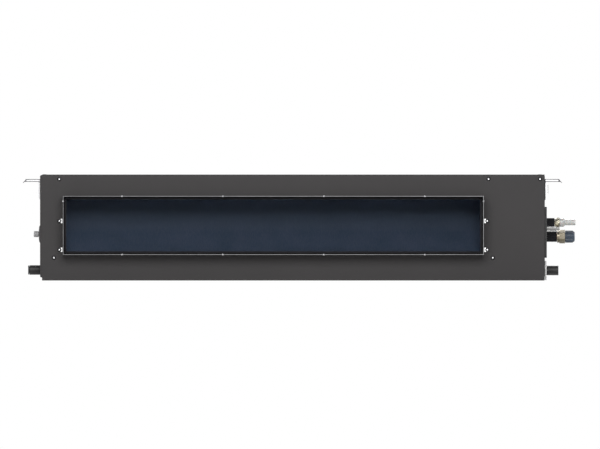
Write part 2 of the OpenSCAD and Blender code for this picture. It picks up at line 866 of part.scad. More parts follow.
// A curved inlet lip that leads air into the wheel, with its outer face on z = 0
module bell() {
    rotate_extrude() translate([inlet_r + bell_r, bell_r]) polygon(concat(
        arc([0, 0], bell_r, 180, 270, bell_steps),
        arc([0, 0], bell_r - scroll_wall, 270, 180, bell_steps)));
}

module side_plate(x) {
    along_x(x, scroll_wall) difference() {
        scroll_outline(scroll_wall);
        translate([fan_y, fan_z]) circle(r = inlet_r + bell_r - run_gap);
    }
}

module scroll_shell(x) {
    along_x(x + scroll_wall/2, scroll_w - scroll_wall) difference() {
        scroll_outline(scroll_wall);
        scroll_outline(0);
    }
    side_plate(x);
    side_plate(x + scroll_w - scroll_wall);
    translate([x, fan_y, fan_z]) rotate([0, 90, 0]) bell();
    translate([x + scroll_w, fan_y, fan_z]) rotate([0, -90, 0]) bell();
    throat_rim(x);
}

module throat_rim(x) {
    difference() {
        box([x - throat_flange, deck_y + sheet_t, throat_z0 - scroll_wall - throat_flange/2],
            [x + scroll_w + throat_flange, deck_y + sheet_t + throat_flange_t, throat_z1 + scroll_wall]);
        box([x + scroll_wall/2, deck_y, throat_z0 - scroll_wall/2],
            [x + scroll_w - scroll_wall/2, deck_y + throat_flange, throat_z1 + scroll_wall/2]);
    }
}

module split_clips(x, dir) {
    for (cx = [x + scroll_w/5, x + scroll_w*4/5 - clip_w])
        translate([cx, fan_y + spiral_r(rear_a) + scroll_wall/2, dir > 0 ? fan_z : fan_z - clip_w])
            cube([clip_w, clip_t + scroll_wall/2, clip_w]);
}

module scroll_upper(x) {
    color(black_plastic) intersection() {
        union() {
            scroll_shell(x);
            split_clips(x, 1);
        }
        box([x - casing_h, deck_y, fan_z], [x + scroll_w + casing_h, half_d, casing_h]);
    }
}

module scroll_lower(x) {
    color(black_plastic) intersection() {
        union() {
            scroll_shell(x);
            split_clips(x, -1);
        }
        box([x - casing_h, deck_y, 0], [x + scroll_w + casing_h, half_d, fan_z]);
    }
}

module left_scroll_upper() { scroll_upper(left_scroll_x); }
module left_scroll_lower() { scroll_lower(left_scroll_x); }
module right_scroll_upper() { scroll_upper(right_scroll_x); }
module right_scroll_lower() { scroll_lower(right_scroll_x); }

// One forward-curved blade in section
module blade() {
    root_r = wheel_r - blade_in - blade_depth;
    intersection() {
        difference() {
            translate([root_r, 0]) circle(r = blade_depth);
            translate([root_r, 0]) circle(r = blade_depth - blade_t);
        }
        translate([root_r, -blade_depth - over]) square([blade_depth + over, blade_depth + over]);
    }
}

module wheel(x) {
    color(black_plastic) translate([x + wheel_end_gap, fan_y, fan_z]) rotate([90, 0, 90]) difference() {
        union() {
            linear_extrude(wheel_w) for (i = [0:blades - 1]) rotate(i*360/blades) blade();
            for (z = [0, wheel_w - wheel_ring_t]) translate([0, 0, z]) linear_extrude(wheel_ring_t)
                difference() {
                    circle(r = wheel_r);
                    circle(r = wheel_r - ring_depth);
                }
            translate([0, 0, (wheel_w - wheel_disc_t)/2])
                cylinder(h = wheel_disc_t, r = wheel_r - ring_depth/2);
            translate([0, 0, (wheel_w - hub_len)/2]) cylinder(h = hub_len, r = hub_r);
        }
        translate([0, 0, (wheel_w - hub_len)/2 - over])
            cylinder(h = hub_len + 2*over, r = shaft_r + run_gap);
    }
}

module left_wheel() { wheel(left_scroll_x); }
module right_wheel() { wheel(right_scroll_x); }

module motor_shaft() {
    x0 = left_scroll_x + scroll_w/2 - hub_len/2 - shaft_past;
    x1 = right_scroll_x + scroll_w/2 + hub_len/2 + shaft_past;
    color(zinc) rod_x(x0, fan_y, fan_z, x1 - x0, shaft_r);
}

// The motor's half section: radius against distance from its middle
module motor_body() {
    r = motor_d/2;
    h = motor_len/2;
    color(zinc) translate([motor_x, fan_y, fan_z]) rotate([0, 90, 0]) rotate_extrude() polygon(concat(
        [[shaft_r + run_gap, -h - boss_len], [boss_r, -h - boss_len], [boss_r, -h]],
        arc([r - motor_round, -h + motor_round], motor_round, -90, 0, bend_steps),
        arc([r - motor_round, h - motor_round], motor_round, 0, 90, bend_steps),
        [[boss_r, h], [boss_r, h + boss_len], [shaft_r + run_gap, h + boss_len]]));
}

module motor_rings() {
    color(black_foam) for (x = [-motor_len/2 - run_gap - ring_len, motor_len/2 + run_gap])
        translate([motor_x + x, fan_y, fan_z]) rotate([0, 90, 0]) difference() {
            cylinder(h = ring_len, r = boss_r + ring_wall);
            translate([0, 0, -over]) cylinder(h = ring_len + 2*over, r = boss_r + run_gap);
        }
}

module motor_bracket() {
    wide = arm_r*arm_share;
    mid = motor_len/2 + ring_len/2 - arm_t/2;
    color(zinc) difference() {
        union() {
            for (x = [motor_x - mid - arm_t, motor_x + mid]) along_x(x, arm_t) {
                translate([fan_y, fan_z]) circle(r = arm_r);
                polygon([[deck_y + sheet_t, fan_z - arm_r - wide], [fan_y, fan_z - arm_r*arm_neck_share],
                    [fan_y, fan_z + arm_r*arm_neck_share], [deck_y + sheet_t, fan_z + arm_r + wide]]);
            }
            box([motor_x - mid - arm_t - fold_w, deck_y + sheet_t, fan_z - arm_r - wide],
                [motor_x + mid + arm_t + fold_w, deck_y + sheet_t + arm_t, fan_z + arm_r + wide]);
        }
        rod_x(motor_x - mid - arm_t - over, fan_y, fan_z, 2*mid + 2*arm_t + 2*over,
            boss_r + ring_wall + run_gap);
    }
}

// Coil

module tube_holes(r) {
    for (row = [0, 1], i = [0:row_tubes - 1]) translate([tube_v(row), tube_u(i, row)]) circle(r = r);
}

// A flat shape in slab coordinates, thickened along +X
module in_slab(x, len) {
    translate([x, coil_y, coil_z]) rotate([-coil_tilt, 0, 0]) rotate([90, 0, 90])
        linear_extrude(len) children();
}

module coil_fins() {
    count = floor((coil_x1 - coil_x0)/fin_pitch);
    start = (coil_x0 + coil_x1 - (count - 1)*fin_pitch - fin_t)/2;
    color(blue_fin) for (i = [0:count - 1]) in_slab(start + i*fin_pitch, fin_t) difference() {
        square([fin_w, fin_l], center = true);
        tube_holes(tube_r + fit_gap);
    }
}

// Hairpins: two tubes and the bend on the left that joins them
module hairpin() {
    union() {
        rod_x(tube_end_x0, 0, 0, tube_end_x1 - tube_end_x0, tube_r);
        rod_x(tube_end_x0, 0, tube_pitch, tube_end_x1 - tube_end_x0, tube_r);
        translate([tube_end_x0, 0, bend_r]) rotate([90, 0, 0]) rotate([0, 0, 90])
            rotate_extrude(angle = 180) translate([bend_r, 0]) circle(r = tube_r);
    }
}

module coil_tubes() {
    color(copper) translate([0, coil_y, coil_z]) rotate([-coil_tilt, 0, 0])
        for (row = [0, 1], i = [0:2:row_tubes - 2]) translate([0, tube_v(row), tube_u(i, row)]) hairpin();
}

// Bends on the right that cross from the front row to the back row
module return_bends() {
    cross_a = atan2(2*stagger, row_pitch);
    span = norm([2*stagger, row_pitch])/2;
    color(copper) for (i = [1:2:row_tubes - 1])
        translate([tube_end_x1, slab_y(tube_u(i, 0) + stagger, 0), slab_z(tube_u(i, 0) + stagger, 0)])
            rotate([-coil_tilt, 0, 0]) rotate([cross_a, 0, 0]) rotate([0, 0, -90])
            rotate_extrude(angle = 180) translate([span, 0]) circle(r = tube_r);
}

module coil_plate(x) {
    foot_y = slab_y(-fin_l/2, fin_w/2);
    ear_y = slab_y(fin_l/2, -fin_w/2);
    color(zinc) difference() {
        union() {
            in_slab(x, plate_t) square([fin_w + 2*plate_margin, fin_l + 2*plate_margin], center = true);
            box([x, foot_y - plate_foot/2, pan_floor_z],
                [x + plate_t, foot_y + plate_foot/2, pan_floor_z + 2*plate_foot]);
            box([x, ear_y - plate_ear/2, coil_z + coil_room/4],
                [x + plate_t, ear_y + plate_ear/2, top_in_z - insulation_t]);
        }
        in_slab(x - over, plate_t + 2*over) tube_holes(tube_r + fit_gap);
    }
}

module coil_plate_left() { coil_plate(coil_x0 - plate_t); }
module coil_plate_right() { coil_plate(coil_x1); }

// Gas header: a closed tube along the slab, a branch from each back-row hairpin and the gas line
module gas_header() {
    low = tube_u(0, 1) - 2*header_r;
    high = tube_u(row_tubes - 2, 1) + 2*header_r;
    color(copper) union() {
        translate([header_x, coil_y, coil_z]) rotate([-coil_tilt, 0, 0])
            translate([0, tube_v(1), low]) cylinder(h = high - low, r = header_r);
        for (i = [0:2:row_tubes - 2])
            rod_x(tube_end_x1, slab_y(tube_u(i, 1), tube_v(1)), slab_z(tube_u(i, 1), tube_v(1)),
                header_x - tube_end_x1, tube_r);
        rod_x(header_x, gas_y, gas_z, gas_sleeve_x1 + gas_nut_len/4 - header_x, gas_r);
        flare(gas_sleeve_x1 + gas_nut_len/4, gas_y, gas_z, gas_r);
    }
}

// The flared end that a nut holds
module flare(x, y, z, r) {
    translate([x, y, z]) rotate([0, 90, 0])
        cylinder(h = r*(flare_share - 1)*2, r1 = r, r2 = r*flare_share);
}

// Distributor and the liquid line
module liquid_line() {
    color(copper) union() {
        translate([distributor_x, liquid_y, liquid_z]) rotate([0, 90, 0])
            cylinder(h = distributor_len, r1 = distributor_r, r2 = liquid_r*3/2);
        rod_x(distributor_x + distributor_len/2, liquid_y, liquid_z,
            liquid_sleeve_x1 + liquid_nut_len/4 - distributor_x - distributor_len/2, liquid_r);
        flare(liquid_sleeve_x1 + liquid_nut_len/4, liquid_y, liquid_z, liquid_r);
    }
}

// Corner points of a route rounded with an arc
function corner(a, b, c) = let (
        u = unit(a - b),
        w = unit(c - b),
        turn = 180 - acos(u*w),
        s = b + u*capillary_bend*tan(turn/2),
        o = b + unit(u + w)*capillary_bend/cos(turn/2),
        e = unit(s - o))
    [for (i = [0:bend_steps]) o + capillary_bend*(e*cos(turn*i/bend_steps) - u*sin(turn*i/bend_steps))];
function rounded(p) = concat([p[0]],
    [for (i = [1:len(p) - 2]) each corner(p[i - 1], p[i], p[i + 1])], [p[len(p) - 1]]);
function heading(p, i) = unit((i < len(p) - 1 ? p[i + 1] : p[i]) - (i > 0 ? p[i - 1] : p[i]));

// A round tube along the points of a route
module swept_tube(p, r, sides) {
    first = unit(cross(heading(p, 0), [0, 1, 1]));
    across = [for (i = 0, n = first; i < len(p);
        i = i + 1, n = i < len(p) ? unit(n - (n*heading(p, i))*heading(p, i)) : n) n];
    points = [for (i = [0:len(p) - 1], k = [0:sides - 1])
        p[i] + r*(across[i]*cos(360*k/sides) + cross(heading(p, i), across[i])*sin(360*k/sides))];
    last = (len(p) - 1)*sides;
    faces = concat(
        [[for (k = [0:sides - 1]) k]],
        [[for (k = [0:sides - 1]) last + sides - 1 - k]],
        [for (i = [0:len(p) - 2], k = [0:sides - 1]) let (a = i*sides + k, b = i*sides + (k + 1)%sides)
            each [[a, a + sides, b + sides], [a, b + sides, b]]]);
    polyhedron(points, faces);
}

// Thin tubes from the distributor to the front-row hairpins
module capillaries() {
    color(copper) for (i = [0:2:row_tubes - 2]) {
        ty = slab_y(tube_u(i, 0), tube_v(0));
        tz = slab_z(tube_u(i, 0), tube_v(0));
        a = 225 + 360*i/row_tubes;
        dy = liquid_y + distributor_r/2*cos(a);
        dz = liquid_z + distributor_r/2*sin(a);
        swept_tube(rounded([
            [distributor_x, dy, dz],
            [distributor_x - 2*capillary_bend, dy, dz],
            [tube_end_x1 + 2*capillary_bend, ty, tz],
            [tube_end_x1, ty, tz]]), capillary_r, capillary_sides);
    }
}

// Piping

module piping_plate() {
    y0 = liquid_y - plate_side;
    y1 = stub_y + plate_side/2;
    color(black_plastic) difference() {
        along_x(plate_x, plate_thick) round_plate([y0, plate_z0], [y1, plate_z1], plate_round);
        pipe_cuts(plate_x - over, plate_thick + 2*over);
    }
}

module sleeve(x1, y, z, d, r) {
    difference() {
        rod_x(sleeve_x0, y, z, x1 - sleeve_x0, d/2);
        rod_x(sleeve_x0 - over, y, z, x1 - sleeve_x0 + 2*over, r + run_gap);
    }
}

module gas_sleeve() {
    color(black_foam) sleeve(gas_sleeve_x1, gas_y, gas_z, gas_sleeve_d, gas_r);
}

module liquid_sleeve() {
    color(black_foam) sleeve(liquid_sleeve_x1, liquid_y, liquid_z, liquid_sleeve_d, liquid_r);
}

// A flare nut: hexagon and round neck, bored for its pipe and for the flared end
module nut(x, y, z, len, af, r) {
    neck = len*nut_neck_share;
    shoulder = len/4;
    translate([x, y, z]) rotate([0, 90, 0]) difference() {
        union() {
            cylinder(h = neck + over, r = af/2);
            translate([0, 0, neck]) intersection() {
                cylinder(h = len - neck, r = af/sqrt(3), $fn = 6);
                cylinder(h = len - neck, r = af*nut_round_share);
            }
        }
        translate([0, 0, -over]) cylinder(h = len + 2*over, r = r + run_gap);
        translate([0, 0, shoulder - r*(flare_share - 1)/2]) cylinder(h = len, r = af*thread_share);
    }
}

module gas_nut() {
    color(brass) nut(gas_sleeve_x1 + seat_gap, gas_y, gas_z, gas_nut_len, gas_nut_af, gas_r);
}

module liquid_nut() {
    color(brass)
        nut(liquid_sleeve_x1 + seat_gap, liquid_y, liquid_z, liquid_nut_len, liquid_nut_af, liquid_r);
}

// Ribbed cap with a rounded end, and the plug that sits in the nut
module gas_cap() {
    r = gas_nut_af/2;
    plug_r = gas_nut_af*thread_share - fit_gap;
    plug = gas_nut_len*cap_plug_share/2;
    core_r = r - cap_rib_depth - run_gap;
    x = gas_sleeve_x1 + 2*seat_gap + gas_nut_len;
    color(cap_blue) translate([x, gas_y, gas_z]) rotate([0, 90, 0]) union() {
        rotate_extrude() polygon(concat(
            [[0, -plug], [plug_r, -plug], [plug_r, run_gap], [core_r, run_gap]],
            arc([core_r - cap_round, gas_cap_len - cap_round], cap_round, 0, 90, bend_steps),
            [[0, gas_cap_len]]));
        linear_extrude(gas_cap_len - cap_round) polygon([for (i = [0:cap_ribs - 1], k = [0:3])
            let (a = (i + k/4)*360/cap_ribs, q = k < 2 ? r : r - cap_rib_depth) [q*cos(a), q*sin(a)]]);
    }
}

// Pale cap with a narrow tail
module liquid_cap() {
    r = liquid_nut_af/2;
    plug_r = liquid_nut_af*thread_share - fit_gap;
    plug = liquid_nut_len*cap_plug_share/2;
    color(pale_plastic) translate([liquid_sleeve_x1 + 2*seat_gap + liquid_nut_len, liquid_y, liquid_z])
        rotate([0, 90, 0]) rotate_extrude() polygon([
            [0, -plug], [plug_r, -plug], [plug_r, 0], [r, 0], [r, liquid_cap_len*2/3],
            [liquid_tail_r, liquid_cap_len], [liquid_tail_r, liquid_cap_len + liquid_tail_len],
            [0, liquid_cap_len + liquid_tail_len]]);
}

module grey_tube() {
    x0 = sleeve_x0 + stub_d;
    x1 = half_w + stub_out;
    r = stub_d/2;
    color(grey_plastic) translate([x0, stub_y, stub_z]) rotate([0, 90, 0]) rotate_extrude() polygon(concat(
        [[0, 0], [r, 0]],
        arc([r/2, x1 - x0 - r/2], r/2, 0, 90, bend_steps),
        [[0, x1 - x0]]));
}

// Drain

module drain_pan() {
    color(black_plastic) difference() {
        box([-pan_x, pan_y0, sheet_t], [pan_x, pan_y1, pan_rim_z]);
        along_x(-pan_x + pan_wall, 2*pan_x - 2*pan_wall) polygon([
            [pan_y0 + pan_wall, pan_rim_z + over], [pan_y0 + pan_wall, pan_floor_z + pan_wall],
            [pan_y0 + 2*pan_wall, pan_floor_z], [spout_y + 3*spout_r, pan_floor_z],
            [pan_y1 - 2*pan_wall, pan_floor_z + 2*pan_wall], [pan_y1 - pan_wall, pan_floor_z + 3*pan_wall],
            [pan_y1 - pan_wall, pan_rim_z + over]]);
        rod_x(-pan_x - over, spout_y, left_spout_z, pan_wall + 2*over, spout_bore_r);
        rod_x(pan_x - pan_wall - over, spout_y, spout_z, pan_wall + 2*over, spout_bore_r);
    }
}

// A drain spout from the pan's end wall, for the right-hand side. Its free end starts at a shoulder.
module spout(z, shoulder, out) {
    difference() {
        union() {
            rod_x(pan_x, spout_y, z, half_w + shoulder - pan_x, spout_neck_r);
            rod_x(half_w + shoulder, spout_y, z, out - shoulder, spout_r);
            rod_x(pan_x, spout_y, z, spout_flange_t, spout_flange_r);
        }
        rod_x(pan_x - over, spout_y, z, half_w + out - pan_x + 2*over, spout_bore_r);
    }
}

module right_drain_spout() { color(black_plastic) spout(spout_z, ring_t, right_spout_len); }

module left_drain_spout() {
    color(black_plastic) mirror([1, 0, 0])
        spout(left_spout_z, 0, left_spout_len - plug_head_t - seat_gap);
}

module drain_plug() {
    x = -half_w - left_spout_len;
    color(black_foam) translate([x, spout_y, left_spout_z]) rotate([0, 90, 0]) rotate_extrude() polygon([
        [0, 0], [plug_head_r - seat_gap, 0], [plug_head_r, seat_gap], [plug_head_r, plug_head_t],
        [spout_bore_r - fit_gap, plug_head_t], [spout_bore_r - fit_gap, plug_head_t + plug_len*3/4],
        [spout_bore_r*3/4, plug_head_t + plug_len], [0, plug_head_t + plug_len]]);
}

module drain_ring() {
    color(pale_plastic) difference() {
        rod_x(half_w, spout_y, spout_z, ring_t, ring_r);
        rod_x(half_w - over, spout_y, spout_z, ring_t + 2*over, spout_neck_r + fit_gap);
    }
}

// A shallow dome over the inspection hole, with a hole for the plug's neck
module inspection_disc() {
    hole_r = neck_r + fit_gap;
    color(dark_paint) translate([-half_w, plug_y, plug_z]) rotate([0, -90, 0]) rotate_extrude() polygon([
        [hole_r, disc_bulge - disc_t], [disc_r*3/4, disc_bulge*3/4 - disc_t], [disc_r*5/6, 0],
        [disc_r, 0], [disc_r, disc_bulge/4], [disc_r*5/6, disc_bulge*3/4],
        [disc_r/2, disc_bulge], [hole_r, disc_bulge]]);
}

module inspection_plug() {
    h = disc_bulge + seat_gap;
    color(grey_plastic) translate([-half_w, plug_y, plug_z]) rotate([0, -90, 0])
        rotate_extrude() polygon(concat(
            [[0, disc_bulge - neck_len], [neck_r, disc_bulge - neck_len], [neck_r, h], [knob_r, h]],
            arc([knob_r - knob_round, h + knob_len - knob_round], knob_round, 0, 90, bend_steps),
            [[0, h + knob_len]]));
}

// Electrical parts

module electrical_box() {
    color(zinc) union() {
        difference() {
            box([box_x0, box_y0, box_z0], [box_x1, box_y1, box_z1]);
            box([box_x0 + box_wall, box_y0 + box_wall, box_z0 - over],
                [box_x1 - box_wall, box_y1 - box_wall, box_z1 - box_wall]);
        }
        for (y = [box_y0, box_y1 - box_wall])
            box([box_x1 - box_wall, y, box_z0 + board_margin], [side_in_x, y + box_wall, box_z1]);
        for (x = post_xs, y = post_ys) rod_z(x, y, board_z, post_len + box_wall/2, post_r);
    }
}

module electrical_cover() {
    color(zinc) union() {
        box([box_x0, box_y0, box_z0 - box_wall], [box_x1 - box_side_gap, box_y1, box_z0]);
        box([box_x0 - box_wall, box_y0, box_z0 - box_wall], [box_x0, box_y1, box_z0 + board_margin]);
    }
}

module control_board() {
    under = board_z - board_t;
    relay_x0 = board_x0 + board_margin/2;
    color(board_green) union() {
        box([board_x0, board_y0, under], [board_x1, board_y1, board_z]);
        for (k = [0:2]) translate([relay_x0 + k*relay[0]*4/3, board_y1 - 3*board_margin, under - relay[2]])
            cube([relay[0], relay[1], relay[2] + board_t/2]);
        translate([board_x0 + board_margin, board_y0 + 2*board_margin, under - transformer[2]])
            cube([transformer[0], transformer[1], transformer[2] + board_t/2]);
        rod_z(board_x1 - capacitor_r - board_margin/3, (board_y0 + board_y1)/2, under - capacitor_len,
            capacitor_len + board_t/2, capacitor_r);
    }
}

module terminal_block() {
    x = box_x0 + box_wall;
    y = (box_y0 + box_y1 - terminal[1])/2;
    z = box_z0 + 2*board_margin;
    way = terminal[1]/terminal_ways;
    color(black_plastic) difference() {
        translate([x, y, z]) cube(terminal);
        for (i = [0:terminal_ways - 1]) translate([x + terminal[0]/2, y + i*way + way/6, z - over])
            cube([terminal[0]/2 + over, way*2/3, terminal[2]/2 + over]);
    }
}

module cable_grommets() {
    lip_r = grommet_r + grommet_lip;
    neck = grommet_r - fit_gap;
    h = grommet_lip + sheet_t;
    color(black_foam) for (k = [0, 1])
        translate([side_in_x - grommet_lip, grommet_y + k*grommet_pitch, grommet_z]) rotate([0, 90, 0])
            rotate_extrude() polygon([
                [0, grommet_lip], [grommet_r/2, 0], [lip_r, 0], [lip_r, grommet_lip], [neck, grommet_lip],
                [neck, h], [lip_r, h], [grommet_r, h + grommet_lip], [grommet_r/2, h + grommet_lip],
                [0, 2*grommet_lip]]);
}

// Screws and rivets

module casing_screws() {
    color(zinc) {
        for (p = front_screws) translate([p[0], -half_d, p[1]]) rotate([90, 0, 0]) screw();
        for (p = rear_screws) translate([p[0], half_d, p[1]]) rotate([-90, 0, 0]) screw();
        for (p = top_screws) translate([p[0], p[1], casing_h]) screw(low_head_h);
        for (p = bottom_screws) translate([p[0], p[1], bottom_step]) rotate([180, 0, 0]) screw();
    }
}

module bracket_screws() {
    color(zinc) {
        for (p = ear_screws) translate([p[0], -half_d - sheet_t, p[1]]) rotate([90, 0, 0]) screw();
        for (side = [-1, 1], y = [-hanger_y, hanger_y], k = hanger_screw_down)
            translate([side*(half_w + hanger_t), y, hanger_z - k]) rotate([0, side*90, 0]) screw();
    }
}

// A rivet with a low head on both sides of a wall, its outer head on z = 0
module rivet() {
    end = sheet_t + rivet_head_h;
    rotate_extrude() polygon([
        [0, -end], [rivet_head_r/2, -end], [rivet_head_r, -end + rivet_head_h/2],
        [rivet_head_r, -sheet_t], [rivet_r, -sheet_t], [rivet_r, 0],
        [rivet_head_r, 0], [rivet_head_r, rivet_head_h/2], [rivet_head_r/2, rivet_head_h],
        [0, rivet_head_h]]);
}

module collar_rivets() {
    color(zinc) {
        for (k = [0:rivet_count - 1]) {
            x = outlet_xm + (k - (rivet_count - 1)/2)*rivet_pitch;
            translate([x, rivet_y, outlet_z1]) rivet();
            translate([x, rivet_y, outlet_z0]) rotate([180, 0, 0]) rivet();
        }
        translate([outlet_x0, rivet_y, rivet_z]) rotate([0, -90, 0]) rivet();
        translate([outlet_x1, rivet_y, rivet_z]) rotate([0, 90, 0]) rivet();
    }
}

top_panel();
top_insulation();
bottom_panel();
service_panel();
left_side_panel();
right_side_panel();
front_panel();
return_frame();
outlet_collar();
outlet_liner();
hanger_front_left();
hanger_front_right();
hanger_rear_left();
hanger_rear_right();
filter_rails();
filter_frame();
filter_mesh();
filter_tab();
fan_deck();
left_scroll_upper();
left_scroll_lower();
right_scroll_upper();
right_scroll_lower();
left_wheel();
right_wheel();
motor_shaft();
motor_body();
motor_rings();
motor_bracket();
coil_fins();
coil_tubes();
return_bends();
coil_plate_left();
coil_plate_right();
gas_header();
liquid_line();
capillaries();
piping_plate();
gas_sleeve();
liquid_sleeve();
gas_nut();
liquid_nut();
gas_cap();
liquid_cap();
grey_tube();
drain_pan();
left_drain_spout();
right_drain_spout();
drain_plug();
drain_ring();
inspection_disc();
inspection_plug();
electrical_box();
electrical_cover();
control_board();
terminal_block();
cable_grommets();
casing_screws();
bracket_screws();
collar_rivets();
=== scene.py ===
import json
import math

import bmesh
import bpy
from mathutils import Matrix, Vector


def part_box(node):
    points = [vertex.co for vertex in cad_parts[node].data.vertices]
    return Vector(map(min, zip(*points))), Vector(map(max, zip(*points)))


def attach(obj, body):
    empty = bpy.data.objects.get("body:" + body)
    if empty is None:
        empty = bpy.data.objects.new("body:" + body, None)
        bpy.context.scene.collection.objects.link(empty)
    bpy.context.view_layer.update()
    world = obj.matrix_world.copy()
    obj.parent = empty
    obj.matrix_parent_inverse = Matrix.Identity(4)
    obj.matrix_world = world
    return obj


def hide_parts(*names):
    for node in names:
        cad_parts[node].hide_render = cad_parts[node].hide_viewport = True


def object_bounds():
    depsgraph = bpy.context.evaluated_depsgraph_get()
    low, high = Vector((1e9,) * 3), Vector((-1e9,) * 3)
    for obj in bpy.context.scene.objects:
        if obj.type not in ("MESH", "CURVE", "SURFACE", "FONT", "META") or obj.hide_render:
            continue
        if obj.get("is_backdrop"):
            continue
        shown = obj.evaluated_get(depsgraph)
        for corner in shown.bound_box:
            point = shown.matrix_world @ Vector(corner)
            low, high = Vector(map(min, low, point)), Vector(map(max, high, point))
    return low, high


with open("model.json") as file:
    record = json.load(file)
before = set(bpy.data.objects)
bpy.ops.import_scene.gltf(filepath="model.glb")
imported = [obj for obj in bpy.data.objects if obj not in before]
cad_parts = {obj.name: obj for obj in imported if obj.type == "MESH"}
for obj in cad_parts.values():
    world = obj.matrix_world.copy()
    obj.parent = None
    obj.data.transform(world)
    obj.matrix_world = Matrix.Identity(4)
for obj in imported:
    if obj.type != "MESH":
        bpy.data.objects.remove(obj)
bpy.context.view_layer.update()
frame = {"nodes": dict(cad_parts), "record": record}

nodes = frame["nodes"]
mm = 0.001
print("frame loaded:", len(nodes), "nodes")


# Node trees
def newMaterial(name):
    material = bpy.data.materials.new(name)
    material.use_nodes = True
    tree = material.node_tree
    shader = tree.nodes["Principled BSDF"]
    return material, tree, shader


# Links the values that are sockets, and sets the others on the node's own sockets
def fillSockets(tree, node, **values):
    for key, value in values.items():
        socket = node.inputs[key.replace("_", " ")]
        if isinstance(value, bpy.types.NodeSocket):
            tree.links.new(value, socket)
        else:
            socket.default_value = value


def addNode(tree, kind, settings=None, **values):
    node = tree.nodes.new(kind)
    for key, value in (settings or {}).items():
        setattr(node, key, value)
    fillSockets(tree, node, **values)
    return node


def objectPoint(tree, stretch=(1, 1, 1)):
    coords = addNode(tree, "ShaderNodeTexCoord").outputs["Object"]
    return addNode(tree, "ShaderNodeMapping", Vector=coords, Scale=stretch).outputs["Vector"]


def heightOf(tree, point):
    return addNode(tree, "ShaderNodeSeparateXYZ", Vector=point).outputs["Z"]


def attribute(tree, name):
    return addNode(tree, "ShaderNodeAttribute", {"attribute_name": name}).outputs["Fac"]


def noise(tree, point, scale, detail, roughness=0.5):
    made = addNode(tree, "ShaderNodeTexNoise", Vector=point, Scale=scale, Detail=detail, Roughness=roughness)
    return made.outputs["Fac"]


# Unless a range is given, it reads the one that a noise fills
def remap(tree, value, low, high, fromLow=0.3, fromHigh=0.7):
    made = addNode(tree, "ShaderNodeMapRange", Value=value, From_Min=fromLow, From_Max=fromHigh,
                   To_Min=low, To_Max=high)
    return made.outputs["Result"]


def combine(tree, operation, first, second):
    made = addNode(tree, "ShaderNodeMath", {"operation": operation})
    tree.links.new(first, made.inputs[0])
    tree.links.new(second, made.inputs[1])
    return made.outputs[0]


def blendColours(tree, amount, first, second):
    made = addNode(tree, "ShaderNodeMix", {"data_type": "RGBA"}, Factor=amount)
    for socket, value in zip(made.inputs[6:8], (first, second)):    # the two colours of the node
        if isinstance(value, bpy.types.NodeSocket):
            tree.links.new(value, socket)
        else:
            socket.default_value = (*value, 1)
    return made.outputs[2]    # the mixed colour


def scaled(colour, factor):
    return tuple(min(1.0, channel*factor) for channel in colour)


# A colour that wanders between a darker and a lighter shade of itself
def mottled(tree, pattern, colour, darkest, lightest):
    return blendColours(tree, remap(tree, pattern, 0, 1), scaled(colour, darkest), scaled(colour, lightest))


def bump(tree, height, distance, strength):
    made = addNode(tree, "ShaderNodeBump", Height=height, Distance=distance, Strength=strength)
    return made.outputs["Normal"]


# Powder paint: orange peel, faint clouds and lighter specks. A pattern is the scale and detail of its noise,
# here and in the finishes below, and relief is the height and strength of a bump
powderPaint = {
    "colour": (0.0405, 0.0385, 0.0390),
    "clouds": (9.0, 4.0),
    "shades": (0.95, 1.05),
    "roughness": (0.555, 0.585),
    "peel": (700.0, 2.0),
    "relief": (0.06*mm, 0.6),
    "specks": (2100.0, 1.0),
    "speckRange": (0.55, 0.75),    # of the noise, from no speck to a full one
    "speckShare": 0.35,            # of a full speck's shade
    "speckShade": 1.35,
    "specular": 0.14,
}


def paintFinish(name, spec):
    material, tree, shader = newMaterial(name)
    point = objectPoint(tree)
    clouds = noise(tree, point, *spec["clouds"])
    specks = remap(tree, noise(tree, point, *spec["specks"]), 0, spec["speckShare"], *spec["speckRange"])
    colour = mottled(tree, clouds, spec["colour"], *spec["shades"])
    fillSockets(tree, shader,
                Base_Color=blendColours(tree, specks, colour, scaled(spec["colour"], spec["speckShade"])),
                Roughness=remap(tree, clouds, *spec["roughness"]),
                Normal=bump(tree, noise(tree, point, *spec["peel"]), *spec["relief"]),
                Specular_IOR_Level=spec["specular"])
    return material


# Galvanised sheet: spangles of slightly different grey under a thin haze
galvanisedSheet = {
    "colour": (0.72, 0.73, 0.75),
    "spangleScale": 120.0,
    "spangleShades": (0.90, 1.10),
    "haze": (60.0, 5.0, 0.65),    # scale, detail and roughness of the noise
    "roughness": (0.26, 0.42),
    "relief": (0.02*mm, 0.5),
}
# the collar's ears: near-white next to the wall, painted shade beyond the screw
collarSheet = dict(galvanisedSheet, colour=(0.17, 0.17, 0.175), roughness=(0.16, 0.24),
                   earBright=(0.95, 0.95, 0.95), dull=(0.05, 0.05, 0.05))
motorSheet = dict(galvanisedSheet, colour=(0.55, 0.55, 0.57), spangleShades=(0.97, 1.03))


def zincFinish(name, spec):
    material, tree, shader = newMaterial(name)
    point = objectPoint(tree)
    cells = addNode(tree, "ShaderNodeTexVoronoi", Vector=point, Scale=spec["spangleScale"])
    shade = addNode(tree, "ShaderNodeSeparateColor", Color=cells.outputs["Color"]).outputs["Red"]
    darkest, lightest = spec["spangleShades"]
    colour = blendColours(tree, shade, scaled(spec["colour"], darkest), scaled(spec["colour"], lightest))
    # the ears' near-white band, then their painted shade
    for mark in ("earBright", "dull"):
        if mark in spec:
            colour = blendColours(tree, attribute(tree, mark), colour, spec[mark])
    haze = noise(tree, point, *spec["haze"])
    fillSockets(tree, shader, Base_Color=colour, Roughness=remap(tree, haze, *spec["roughness"]),
                Normal=bump(tree, haze, *spec["relief"]), Metallic=1.0)
    return material
